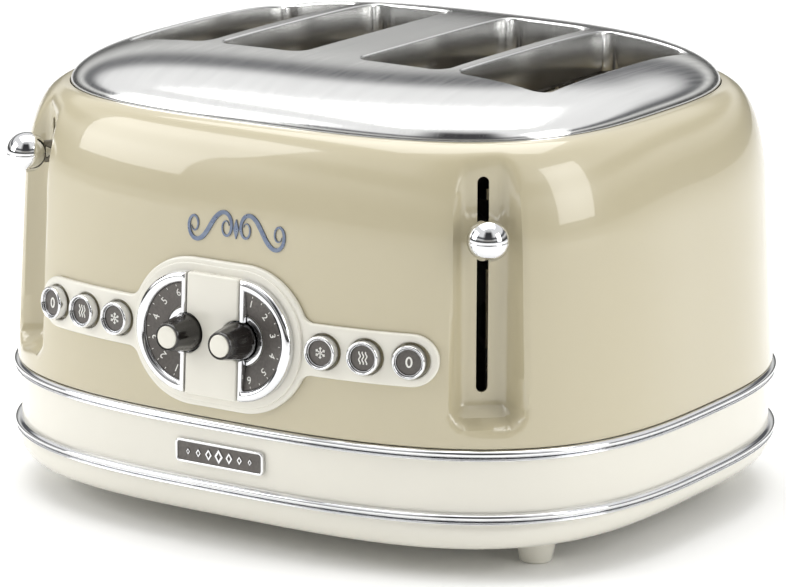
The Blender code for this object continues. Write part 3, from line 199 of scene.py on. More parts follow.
# Pad-printed ink: thin, matt, its cover a little uneven.
white_ink = clouded("white_pad_print", {}, (0.8, "#DEDDD7", "#EBEAE5"), (0.5, 0.45, 0.6))
black_ink = clouded("black_pad_print", {}, (0.8, "#141312", "#1E1C1B"), (0.5, 0.45, 0.6))
print("painted and moulded finishes:", [m.name for m in bpy.data.materials][-8:])

# %% [markdown]
# ## Metals and the heater's mica
# Brushing leaves long fine scratches that all run one way, here from front to back, so the noise is
# stretched along Y. Chrome plate is smoother than any polish, and only its smudges show. Sheet steel
# dipped in zinc grows crystals, the spangle, which a Voronoi pattern's cells imitate, and the oven's
# heat dulls it. The real scratches are finer than the render can show, so they're drawn wider.

# %% Metal finishes
def brushed_stainless():
    """Stainless sheet, brushed from front to back: streaks in both the gloss and the tone."""
    finish, tree, shader = new_finish("brushed_stainless_steel", {"Metallic": 1.0})
    streaks = noise_on_object(tree, 0.7 * MM, 2, (1, 60, 60))
    wide_streaks = noise_on_object(tree, 6 * MM, 2, (1, 14, 14))
    tone = two_tone(tree, wide_streaks, "#E8E8E7", "#EDEDEC")
    tree.links.new(tone, shader.inputs["Base Color"])
    tree.links.new(spread(tree, streaks, 0.13, 0.2), shader.inputs["Roughness"])
    give_bump(tree, shader, streaks, 0.0015 * MM)
    return finish


def hot_zinc_steel():
    """Galvanised sheet beside the heaters: zinc spangle, heat-dulled, with faint drawing streaks."""
    finish, tree, shader = new_finish("galvanised_spangled_steel", {"Metallic": 1.0})
    place = add_node(tree, "ShaderNodeTexCoord").outputs["Object"]
    inputs = {"Vector": place, "Scale": 1 / (7 * MM)}
    spangle = add_node(tree, "ShaderNodeTexVoronoi", inputs).outputs["Color"]
    cell = add_node(tree, "ShaderNodeSeparateColor", {"Color": spangle}).outputs["Red"]
    streaks = noise_on_object(tree, 3 * MM, 4, (1, 1, 6))
    mixed = add_node(tree, "ShaderNodeMath", {0: cell, 1: streaks}, operation="ADD").outputs[0]
    tone = two_tone(tree, mixed, "#5F5C58", "#8E8B87", 0.3, 1.4)
    tree.links.new(tone, shader.inputs["Base Color"])
    tree.links.new(spread(tree, mixed, 0.3, 0.5, 0.3, 1.4), shader.inputs["Roughness"])
    give_bump(tree, shader, streaks, 0.02 * MM)
    return finish


def mica_sheet():
    """Pressed mica flakes: tan, pearly, in overlapping scales some millimetres across."""
    finish, tree, shader = new_finish("pressed_mica_flake", {"Sheen Weight": 0.15})
    place = add_node(tree, "ShaderNodeTexCoord").outputs["Object"]
    flakes = add_node(tree, "ShaderNodeTexVoronoi", {"Vector": place, "Scale": 1 / (4 * MM)})
    cell = add_node(tree, "ShaderNodeSeparateColor", {"Color": flakes.outputs["Color"]}).outputs["Red"]
    tree.links.new(two_tone(tree, cell, "#9C8E70", "#C4B897", 0, 1), shader.inputs["Base Color"])
    tree.links.new(spread(tree, cell, 0.3, 0.55, 0, 1), shader.inputs["Roughness"])
    return finish


steel, zinc, mica = brushed_stainless(), hot_zinc_steel(), mica_sheet()
# Bright chrome over nickel: near mirror, with faint smudges.
chrome = clouded(
    "bright_chrome_plate", {"Metallic": 1.0}, (12, "#DCDDDF", "#E6E6E7"), (5, 0.035, 0.085)
)
# Nickel-plated wire: bright, with fine drawing marks.
wire = clouded("bright_drawn_wire", {"Metallic": 1.0}, (3, "#B2B0AC", "#CFCDC9"), (1, 0.18, 0.34))
# Nickel-chrome heater wire after its first heat: dark oxide with a brown cast.
heater_wire = clouded(
    "oxidised_heater_wire", {"Metallic": 0.7}, (2, "#5A5049", "#7C7168"), (1, 0.4, 0.6)
)
# Glass-fibre board under green solder mask, whose thickness varies a little.
board_green = clouded(
    "green_solder_mask", {"Coat Weight": 0.3}, (1.5, "#1D4A2E", "#2A5C3A"), (2, 0.3, 0.45)
)
print("finishes:", len(bpy.data.materials))

# %% [markdown]
# ## Meshes from rings of points
# Most of this object follows one outline, a superellipse, which is fuller in its corners than an
# ellipse. So most pieces are lofts: rings of points joined by quads. The rings run anticlockwise
# seen from above and go up the outside and down the inside, so every face points outwards.

# %% Mesh helpers
def quads(rows, columns, closed):
    """Faces between rings; closed joins the last ring to the first one."""
    faces = []
    for row in range(rows if closed else rows - 1):
        low, high = row * columns, (row + 1) % rows * columns
        for i in range(columns):
            j = (i + 1) % columns
            faces.append((low + i, low + j, high + j, high + i))
    return faces


def loft(rings, closed=True, caps=False):
    """Vertices and faces of rings of points; caps close the first and last ring with a fan."""
    rings = np.asarray(rings, float)
    rows, columns, _ = rings.shape
    vertices = list(map(tuple, rings.reshape(-1, 3)))
    faces = quads(rows, columns, closed)
    if caps:
        first, last = len(vertices), len(vertices) + 1
        vertices += [tuple(rings[0].mean(0)), tuple(rings[-1].mean(0))]
        start = (rows - 1) * columns
        for i in range(columns):
            j = (i + 1) % columns
            faces.append((first, j, i))
            faces.append((last, start + i, start + j))
    return vertices, faces


def turned(profile, steps, matrix):
    """A turned solid: profile gives (radius, height) from the axis at the bottom to the axis at the top."""
    angles = 2 * np.pi * np.arange(steps) / steps
    inner = profile[1:-1]
    rings = [[(r * math.cos(a), r * math.sin(a), h) for a in angles] for r, h in inner]
    vertices, faces = loft(rings, closed=False, caps=True)
    vertices[-2], vertices[-1] = (0, 0, profile[0][1]), (0, 0, profile[-1][1])
    return [tuple(matrix @ Vector(v)) for v in vertices], faces


def joined(*parts):
    vertices, faces = [], []
    for part_vertices, part_faces in parts:
        start = len(vertices)
        vertices += part_vertices
        faces += [tuple(start + i for i in face) for face in part_faces]
    return vertices, faces


def make_object(name, shape, finish=None):
    mesh = bpy.data.meshes.new(name)
    mesh.from_pydata(shape[0], [], shape[1])
    mesh.validate()
    obj = bpy.data.objects.new(name, mesh)
    bpy.context.scene.collection.objects.link(obj)
    if finish:
        mesh.materials.append(finish)
    return obj


def merge_points(obj, distance=0.001 * MM):
    bm = bmesh.new()
    bm.from_mesh(obj.data)
    bmesh.ops.remove_doubles(bm, verts=bm.verts, dist=distance)
    bm.to_mesh(obj.data)
    bm.free()


def bake_modifiers(obj):
    """Makes the modifiers' result the object's own plain mesh."""
    graph = bpy.context.evaluated_depsgraph_get()
    mesh = bpy.data.meshes.new_from_object(obj.evaluated_get(graph))
    obj.modifiers.clear()
    obj.data = mesh


def cut(obj, cutter_shape):
    """Cuts a closed shape out of an object."""
    cutter = make_object("cutter", cutter_shape)
    modifier = obj.modifiers.new("cut", "BOOLEAN")
    modifier.solver, modifier.operation, modifier.object = "EXACT", "DIFFERENCE", cutter
    bake_modifiers(obj)
    bpy.data.objects.remove(cutter)


def place_piece(obj, body, slot, *nodes, sharp=35):
    """Shades a finished piece, hangs it on the body it moves with and hides the nodes it stands for."""
    obj.data.shade_smooth()
    obj.data.set_sharp_from_angle(angle=math.radians(sharp))
    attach(obj, body)
    if nodes:
        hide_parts(*nodes)
    print(f"{obj.name}: {len(obj.data.polygons)} faces on {body}")
    return obj


# %% [markdown]
# ## The body's outline
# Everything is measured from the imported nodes: the trim rings give the half width and half depth,
# the shell its top and bottom. The outline's power, its taper and the rounded shoulder are the
# design's own numbers. Points are spread evenly along the outline, because a superellipse's own
# angle leaves them sparse on the flats.

# %% Outline and shell shape
shell_low, shell_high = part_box("body_shell")
ring_low, ring_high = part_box("trim_ring_upper")
MIDDLE_Y = (shell_low.y + shell_high.y) / 2
HALF_WIDTH = (ring_high.x - ring_low.x) / 2
HALF_DEPTH = (ring_high.y - ring_low.y) / 2
UPPER_RING_Z = (ring_low.z + ring_high.z) / 2
RING_HEIGHT = ring_high.z - ring_low.z
SHELL_TOP, SHELL_BOTTOM = shell_high.z, shell_low.z
BASE_POWER, TOP_POWER = 2.96, 3.11
START_INSET, TAPER = 1.7 * MM, 7.7 * MM
SHOULDER_INSET, SHOULDER_HEIGHT, SHOULDER_POWER = 15.4 * MM, 46.4 * MM, 2.2
INSET_X_SHARE, INSET_Y_SHARE = 1.117, 0.883
OUTLINE_POINTS = 560


def even_angles(count):
    """Outline angles whose points are evenly spaced along the trim ring."""
    fine = np.linspace(0, 2 * np.pi, 20001)
    x, y = outline(HALF_WIDTH, HALF_DEPTH, BASE_POWER, fine)
    length = np.concatenate(([0], np.cumsum(np.hypot(np.diff(x), np.diff(y)))))
    return np.interp(np.arange(count) / count * length[-1], length, fine)


def outline(a, b, power, angles):
    c, s = np.cos(angles), np.sin(angles)
    return a * np.sign(c) * np.abs(c) ** (2 / power), b * np.sign(s) * np.abs(s) ** (2 / power)


def shell_plan(z):
    """Half width, half depth and power of the body's outline at height z."""
    share = (z - UPPER_RING_Z) / (SHELL_TOP - UPPER_RING_Z)
    turn = np.clip((z - SHELL_TOP + SHOULDER_HEIGHT) / SHOULDER_HEIGHT, 0, 1)
    shoulder = SHOULDER_INSET * (1 - (1 - turn**SHOULDER_POWER) ** (1 / SHOULDER_POWER))
    inset = START_INSET + TAPER * share + shoulder
    power = BASE_POWER + (TOP_POWER - BASE_POWER) * share
    return HALF_WIDTH - INSET_X_SHARE * inset, HALF_DEPTH - INSET_Y_SHARE * inset, power


ANGLES = even_angles(OUTLINE_POINTS)
print(f"outline {2 * HALF_WIDTH / MM:.1f} x {2 * HALF_DEPTH / MM:.1f} mm")
print(f"middle at y {MIDDLE_Y / MM:.1f} mm")

# %% [markdown]
# ## The enamelled body with its two pressed channels
# Each lever runs in a channel pressed into the front corner, so that the ball stands in the body's
# own curve. The press is a rule: no point may stand further out along the lever's direction than a
# flat floor with curved walls. A smooth maximum in place of a hard one rounds the channel's edge as
# drawn sheet would. The top edge is rolled to half the sheet's thickness, which catches the light.

# %% Channel rule and body
ball_low, ball_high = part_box("lever_knob_right")
BALL = (ball_low + ball_high) / 2 - Vector((0, MIDDLE_Y, 0))
BALL_RADIUS = (ball_high.z - ball_low.z) / 2
LEVER_ANGLE = math.radians(48)
OUTWARD = (math.cos(LEVER_ANGLE), -math.sin(LEVER_ANGLE))
ALONG = (-OUTWARD[1], OUTWARD[0])
LEVER_REACH, FLOOR_HALF = 12.5 * MM, 7 * MM
CHANNEL_LIP, CHANNEL_RISE, CHANNEL_SOFTNESS = 8 * MM, 10 * MM, 1.6 * MM
LEVER_HIGH, LEVER_LOW = SHELL_TOP - 18.7 * MM, ring_high.z + 27.8 * MM
CHANNEL_BOTTOM = LEVER_LOW - BALL_RADIUS - 1.3 * MM
SHEET = 1.2 * MM


def press_channel(x, y, z):
    dx, dy = np.abs(x) - BALL.x, y - BALL.y
    aside = np.maximum(np.abs(dx * ALONG[0] + dy * ALONG[1]) - FLOOR_HALF, 0)
    below = np.maximum(CHANNEL_BOTTOM - z, 0)
    limit = -LEVER_REACH + CHANNEL_RISE * (np.hypot(aside, below) / CHANNEL_LIP) ** 2
    over = dx * OUTWARD[0] + dy * OUTWARD[1] - limit
    excess = np.where(y > 0, 0, (over + np.hypot(over, CHANNEL_SOFTNESS)) / 2)
    return x - np.sign(x) * excess * OUTWARD[0], y - excess * OUTWARD[1]


def moved_in(x, y, distance):
    """A closed ring's points moved in by a distance, square to the ring."""
    tx, ty = np.roll(x, -1) - np.roll(x, 1), np.roll(y, -1) - np.roll(y, 1)
    length = np.hypot(tx, ty)
    return x - distance * ty / length, y + distance * tx / length


def ring_points(x, y, z):
    return np.column_stack((x, y + MIDDLE_Y, np.full(len(x), z)))


def shell_ring(z, inset):
    x, y = press_channel(*outline(*shell_plan(z), ANGLES), z)
    return ring_points(*moved_in(x, y, inset), z)


def rolled_edge(z, half, steps=6, sign=1):
    """(height, inset) round a sheet's rolled edge, from the outside to the inside."""
    turns = [math.pi * i / steps for i in range(steps + 1)]
    return [(z + sign * half * math.sin(t), half * (1 - math.cos(t))) for t in turns]


half_sheet = SHEET / 2
outside = np.linspace(SHELL_BOTTOM + half_sheet, SHELL_TOP - half_sheet, 68)[1:-1]
inside = np.linspace(SHELL_TOP - 3 * MM, SHELL_BOTTOM + 3 * MM, 18)
levels = [(z, 0) for z in outside] + rolled_edge(SHELL_TOP - half_sheet, half_sheet)
levels += [(z, SHEET) for z in inside] + rolled_edge(SHELL_BOTTOM + half_sheet, half_sheet, sign=-1)[::-1]
body = make_object("enamelled_body", loft([shell_ring(z, inset) for z, inset in levels]), enamel)
print(f"body: {len(levels)} rings of {OUTLINE_POINTS} points")

# %% [markdown]
# ## Openings in the body
# Two upright slots let the lever blades through, and round holes behind the panel take the button
# stems and the dial shafts. The cord leaves through a hole at the back. They're cut with an exact
# Boolean from closed cutters that reach well past the sheet on both sides.

# %% Lever slots and holes
PANEL_LOW, PANEL_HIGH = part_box("control_panel")
PANEL_Z = (PANEL_LOW.z + PANEL_HIGH.z) / 2
SLOT_HALF, SLOT_OVERRUN = 2.5 * MM, 6.25 * MM
CUTTER_IN, CUTTER_OUT = -6 * MM, 4 * MM
SHAFT_DRILL, STEM_DRILL, GLAND_DRILL = 12 * MM, 9 * MM, 12 * MM
PANEL_GAP, PANEL_THICK, PLATFORM_PROUD = 0.3 * MM, 2.3 * MM, 0.6 * MM
DIAL_X, SHAFT_HOLE, STEM_HOLE = 13.6 * MM, 3.5 * MM, 3.5 * MM
BUTTONS = ("defrost", "reheat", "cancel")
FIRST_BUTTON_X, BUTTON_PITCH = 53.2 * MM, 19.2 * MM
BUTTON_X = {name: FIRST_BUTTON_X + i * BUTTON_PITCH for i, name in enumerate(BUTTONS)}


def front_surface(x, z, out=0.0):
    """Points of the body's front at x and z, moved out along its normal, in the row's frame."""
    x, z = np.asarray(x, float), np.asarray(z, float)

    def at(x, z):
        a, b, power = shell_plan(z)
        return np.stack([x, -b * (1 - np.abs(x / a) ** power) ** (1 / power) + MIDDLE_Y, z + 0 * x], -1)

    step = 0.5 * MM
    normal = np.cross(at(x + step, z) - at(x - step, z), at(x, z + step) - at(x, z - step))
    normal /= np.linalg.norm(normal, axis=-1, keepdims=True)
    return at(x, z) + np.asarray(out, float)[..., None] * normal, normal


def facing(x, out):
    """A frame on the panel's middle line: local +Z square to the body's front there, +X to the right."""
    origin, normal = front_surface(x, PANEL_Z, out)
    z_axis = Vector(normal)
    x_axis = Vector((0, 0, 1)).cross(z_axis).normalized()
    rotation = Matrix((x_axis, z_axis.cross(x_axis), z_axis)).transposed().to_4x4()
    return Matrix.Translation(Vector(origin)) @ rotation


def dial_frame(side):
    middle = facing(0, PANEL_GAP + PANEL_THICK + PLATFORM_PROUD)
    return Matrix.Translation((side * DIAL_X, 0, 0)) @ middle


def button_frame(name, side):
    return facing(BUTTON_X[name] * side, PANEL_GAP + PANEL_THICK)


def cylinder(radius, low, high):
    return ((0, low), (radius, low), (radius, high), (0, high))


def capsule(half_width, half_height, steps=10):
    """A slot's outline with round ends, anticlockwise."""
    turns = np.pi * np.arange(steps + 1) / steps
    top = [(half_width * math.cos(t), half_height - half_width + half_width * math.sin(t)) for t in turns]
    return top + [(-x, -y) for x, y in top]


def slot_cutter(side):
    middle_z = (LEVER_HIGH + LEVER_LOW) / 2
    half = (LEVER_HIGH - LEVER_LOW) / 2 + SLOT_OVERRUN
    out = Vector((side * OUTWARD[0], OUTWARD[1], 0))
    across = Vector((0, 0, 1)).cross(out)
    middle = Vector((side * BALL.x, BALL.y + MIDDLE_Y, middle_z)) - out * LEVER_REACH
    rings = []
    for depth in (CUTTER_IN, CUTTER_OUT):
        ring = [middle + out * depth + across * u + Vector((0, 0, v)) for u, v in capsule(SLOT_HALF, half)]
        rings.append(ring)
    return loft(rings, closed=False, caps=True)


GLAND_HOLE = 7.3 * MM
gland_low, gland_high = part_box("cord_gland")
GLAND_Z = (gland_low.z + gland_high.z) / 2
gland_place = Matrix.Translation((0, shell_high.y, GLAND_Z)) @ Matrix.Rotation(math.radians(-90), 4, "X")
holes = [slot_cutter(side) for _, side in SIDES]
holes += [turned(cylinder(SHAFT_HOLE, -SHAFT_DRILL, 0), 24, dial_frame(side)) for _, side in SIDES]
for _, side in SIDES:
    for name in BUTTONS:
        holes.append(turned(cylinder(STEM_HOLE, -STEM_DRILL, 0), 24, button_frame(name, side)))
holes.append(turned(cylinder(GLAND_HOLE, -GLAND_DRILL, CUTTER_OUT), 32, gland_place))
cut(body, joined(*holes))
place_piece(body, "housing", "beige_enamel", "body_shell")

# %% [markdown]
# ## The brushed steel cover
# The cover is one pressed sheet: a short skirt that drops inside the body's rolled edge, a tight
# shoulder and an almost flat crown. Its height is a rule of how far out a point lies, as a share of
# the cover's outline, so the same rule gives the height anywhere, and the slot rims use that.

# %% Dome rule
cover_low, cover_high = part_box("top_cover")
COVER_RISE = cover_high.z - SHELL_TOP
COVER_GAP, COVER_SKIRT = 0.9 * MM, SHELL_TOP - cover_low.z
DOME_POWER, DOME_ROOT, CROWN_POWER = 5, 0.55, 2.2
COVER_A, COVER_B, COVER_POWER = shell_plan(SHELL_TOP)
COVER_A, COVER_B = COVER_A - COVER_GAP, COVER_B - COVER_GAP


def dome_height(share):
    return SHELL_TOP + COVER_RISE * (1 - share**DOME_POWER) ** DOME_ROOT


def dome_ring(share, z, wall=0.0):
    a, b = (COVER_A - wall) * share, (COVER_B - wall) * share
    power = COVER_POWER + (CROWN_POWER - COVER_POWER) * (1 - share)
    return ring_points(*outline(a, b, power, ANGLES), z)


def dome_at(x, y):
    """Height of the cover's surface over points of the plan, found by halving the share's range."""
    low, high = np.full(len(x), 1e-3), np.ones(len(x))
    for _ in range(40):
        share = (low + high) / 2
        power = COVER_POWER + (CROWN_POWER - COVER_POWER) * (1 - share)
        aside, back = np.abs(x / (COVER_A * share)), np.abs((y - MIDDLE_Y) / (COVER_B * share))
        beyond = aside**power + back**power > 1
        low, high = np.where(beyond, share, low), np.where(beyond, high, share)
    return dome_height((low + high) / 2)


CROWN_SHARE = 0.08  # of the outline, where the last ring before the crown's middle lies
turns = np.linspace(0, math.pi / 2, 34)[1:]
shares = np.concatenate((np.sin(turns)[::-1] ** 0.5, [CROWN_SHARE]))
print(f"cover rises {COVER_RISE / MM:.1f} mm over {len(shares)} rings")

# %% [markdown]
# ## Slots with turned-in rims
# Each slot's edge is flanged: the sheet rolls over and runs down as a wall, which keeps bread off a
# raw edge. A loft along the slot's outline makes it, from the cover's surface over the roll and down
# the flange, so the hole in the cover itself can be a plain cut under the roll.

# %% Cover with its slots
SLOT_FIRST_EDGE, SLOT_PITCH = 14.4 * MM, 51.1 * MM
SLOT_WIDTH, SLOT_LENGTH = 44.6 * MM, 128.4 * MM
CUT_LOW, CUT_HIGH, SKIRT_STEPS = 150 * MM, 250 * MM, (1.6 * MM, 0.8 * MM)
SLOT_MIDDLE_Y, SLOT_CORNER, FLANGE_WALL, RIM_ROLL = 9.6 * MM + MIDDLE_Y, 7 * MM, 0.9 * MM, 1.1 * MM
INNER_MIDDLE = SLOT_FIRST_EDGE + SLOT_WIDTH / 2
SLOT_MIDDLES = [side * (INNER_MIDDLE + i * SLOT_PITCH) for _, side in SIDES for i in (0, 1)]
FLANGE_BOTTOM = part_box("toast_chamber_left")[1].z + 0.6 * MM


def arc(middle, radius, start, end, steps):
    angles = np.radians(np.linspace(start, end, steps + 1))
    return [(middle[0] + radius * math.cos(a), middle[1] + radius * math.sin(a)) for a in angles]


def subdivided(points, longest):
    """A closed outline with its long straight runs divided."""
    result = []
    for (ax, ay), (bx, by) in zip(points, points[1:] + points[:1]):
        count = max(1, math.ceil(math.hypot(bx - ax, by - ay) / longest))
        result += [(ax + (bx - ax) * i / count, ay + (by - ay) * i / count) for i in range(count)]
    return result


def rounded_rectangle(half_x, half_y, radius, steps=8):
    corners = ((1, 1, 0), (-1, 1, 90), (-1, -1, 180), (1, -1, 270))
    points = []
    for sx, sy, start in corners:
        points += arc((sx * (half_x - radius), sy * (half_y - radius)), radius, start, start + 90, steps)
    return points


def slot_ring(middle_x, grow):
    base = subdivided(rounded_rectangle(SLOT_WIDTH / 2, SLOT_LENGTH / 2, SLOT_CORNER), 3 * MM)
    points = np.array(base)
    nearest = np.clip(points, (SLOT_CORNER - SLOT_WIDTH / 2, SLOT_CORNER - SLOT_LENGTH / 2),
                      (SLOT_WIDTH / 2 - SLOT_CORNER, SLOT_LENGTH / 2 - SLOT_CORNER))
    away = points - nearest
    away /= np.linalg.norm(away, axis=1, keepdims=True)
    return points + away * grow + (middle_x, SLOT_MIDDLE_Y)


def slot_rim(middle_x):
    rings = []
    for turn in np.linspace(0, math.pi / 2, 6):
        plan = slot_ring(middle_x, RIM_ROLL * (1 - math.sin(turn)))
        edge = slot_ring(middle_x, RIM_ROLL)
        z = dome_at(edge[:, 0], edge[:, 1]) - RIM_ROLL * (1 - math.cos(turn))
        rings.append(np.column_stack((plan, z)))
    for grow in (0, FLANGE_WALL):
        plan = slot_ring(middle_x, grow)
        rings.append(np.column_stack((plan, np.full(len(plan), FLANGE_BOTTOM))))
    plan = slot_ring(middle_x, FLANGE_WALL)
    edge = slot_ring(middle_x, RIM_ROLL)
    rings.append(np.column_stack((plan, dome_at(edge[:, 0], edge[:, 1]) - 1.5 * RIM_ROLL)))
    return loft(rings)


def slot_prism(middle_x):
    plan = slot_ring(middle_x, RIM_ROLL)
    rings = [np.column_stack((plan, np.full(len(plan), z))) for z in (CUT_LOW, CUT_HIGH)]
    return loft(rings, closed=False, caps=True)


# Each level is (share of the outline, height, inset). Fans close the crown above and below, in place
# of the band of faces that would join the last ring on top to the first one underneath.
top = [(1, SHELL_TOP - drop, 0) for drop in (COVER_SKIRT, *SKIRT_STEPS)]
top += [(s, dome_height(s), 0) for s in shares]
under = [(s, dome_height(s) - SHEET, SHEET) for s in shares[::-3]]
under += [(1, SHELL_TOP - COVER_SKIRT, SHEET)]
vertices, faces = loft([dome_ring(*level) for level in top + under])
columns = len(ANGLES)
start = (len(top) - 1) * columns
del faces[start : start + columns]
top_middle, under_middle = len(vertices), len(vertices) + 1
vertices += [(0, MIDDLE_Y, dome_height(0)), (0, MIDDLE_Y, dome_height(0) - SHEET)]
for i in range(columns):
    j = (i + 1) % columns
    faces.append((start + i, start + j, top_middle))
    faces.append((start + columns + j, start + columns + i, under_middle))
cover = make_object("brushed_cover", (vertices, faces), steel)
cut(cover, joined(*[slot_prism(x) for x in SLOT_MIDDLES]))
rims = make_object("slot_rims", joined(*[slot_rim(x) for x in SLOT_MIDDLES]), steel)
place_piece(cover, "housing", "cover_steel", "top_cover", sharp=40)
place_piece(rims, "housing", "cover_steel", sharp=60)

# %% [markdown]
# ## The moulded base, the beads and the feet
# The base is a shallow bowl with an upright band. Its two chrome beads are roll-formed strips that
# follow the band's outline, so Geometry Nodes make them: a circle is stretched into the superellipse
# by a formula and a small profile runs round it. A change of power or size needs no new points.

# %% Base
base_low, base_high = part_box("base_housing")
BAND_A = HALF_WIDTH - 3.3 * MM
BAND_B = HALF_DEPTH - 3.3 * MM
BAND_TOP = ring_high.z
BOWL_HEIGHT, BOWL_INSET_X, BOWL_INSET_Y, BOWL_POWER = 12.7 * MM, 16.6 * MM, 10 * MM, 3.32
LIP_CLEARANCE, BASE_WALL = 1.1 * MM, 2.5 * MM


def base_ring(inset_x, inset_y, power, z):
    return ring_points(*outline(BAND_A - inset_x, BAND_B - inset_y, power, ANGLES), z)


def bowl_rings(wall, steps):
    rings = []
    for step in range(steps + 1):
        turn = math.pi / 2 * step / steps
        power = BASE_POWER + (BOWL_POWER - BASE_POWER) * math.cos(turn)
        inset = 1 - math.sin(turn)
        z = base_low.z + wall + (BOWL_HEIGHT - wall) * (1 - math.cos(turn))
        rings.append(base_ring(wall + BOWL_INSET_X * inset, wall + BOWL_INSET_Y * inset, power, z))
    return rings


BOWL_TOP = base_low.z + BOWL_HEIGHT + MM
outer_rings = bowl_rings(0, 16)
outer_rings += [base_ring(0, 0, BASE_POWER, z) for z in np.linspace(BOWL_TOP, BAND_TOP, 12)]
step_in = LIP_CLEARANCE + BASE_WALL
lip_rings = [base_ring(LIP_CLEARANCE, LIP_CLEARANCE, BASE_POWER, z) for z in (BAND_TOP, base_high.z)]
lip_rings.append(base_ring(step_in, step_in, BASE_POWER, base_high.z))
base_shape = loft(outer_rings + lip_rings + bowl_rings(step_in, 6)[::-1], closed=False, caps=True)
base = make_object("moulded_base", base_shape, cream)
tray_low, tray_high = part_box("crumb_tray")
TRAY_ROOM, MOUTH_OUTSIDE, MOUTH_INSIDE = 0.6 * MM, 160 * MM, 85 * MM
mouth_half, mouth_low, mouth_high = tray_high.x + TRAY_ROOM, tray_low.z - TRAY_ROOM, tray_high.z + TRAY_ROOM
mouth = [(-mouth_half, mouth_low), (mouth_half, mouth_low)]
mouth += [(mouth_half, mouth_high), (-mouth_half, mouth_high)]
mouth_rings = [[(x, y, z) for x, z in mouth] for y in (MOUTH_OUTSIDE, MOUTH_INSIDE)]
cut(base, loft(mouth_rings, closed=False, caps=True))
place_piece(base, "housing", "cream_plastic", "base_housing")


# %% Geometry Nodes helpers
def new_tree(name, inputs):
    """A tree with named inputs, and its input node; each input is (name, type)."""
    tree = bpy.data.node_groups.new(name, "GeometryNodeTree")
    tree.interface.new_socket("Geometry", in_out="OUTPUT", socket_type="NodeSocketGeometry")
    for label, kind in inputs:
        tree.interface.new_socket(label, in_out="INPUT", socket_type=f"NodeSocket{kind}")
    return tree, add_node(tree, "NodeGroupInput").outputs


def end_tree(tree, geometry, material):
    """Realize the instances, set the material and send the result out."""
    real = add_node(tree, "GeometryNodeRealizeInstances", {"Geometry": geometry})
    inputs = {"Geometry": real.outputs["Geometry"], "Material": material}
    painted = add_node(tree, "GeometryNodeSetMaterial", inputs)
    add_node(tree, "NodeGroupOutput", {"Geometry": painted.outputs["Geometry"]})


def grown(name, tree, **values):
    """An object with the mesh that a tree makes from its named inputs."""
    obj = bpy.data.objects.new(name, bpy.data.meshes.new(name))
    bpy.context.scene.collection.objects.link(obj)
    modifier = obj.modifiers.new("shape", "NODES")
    modifier.node_group = tree
    for item in tree.interface.items_tree:
        if item.in_out == "INPUT":
            modifier[item.identifier] = values[item.name.replace(" ", "_")]
    bake_modifiers(obj)
    return obj


# %% The bead on its superellipse
BEAD_SHARE = 0.7  # of the bead's height, taken by its upper round
ROUND_OVERLAP, ROUND_SHOULDER = 1.04, 0.62  # the rounds' overlap, and a lower round's least depth


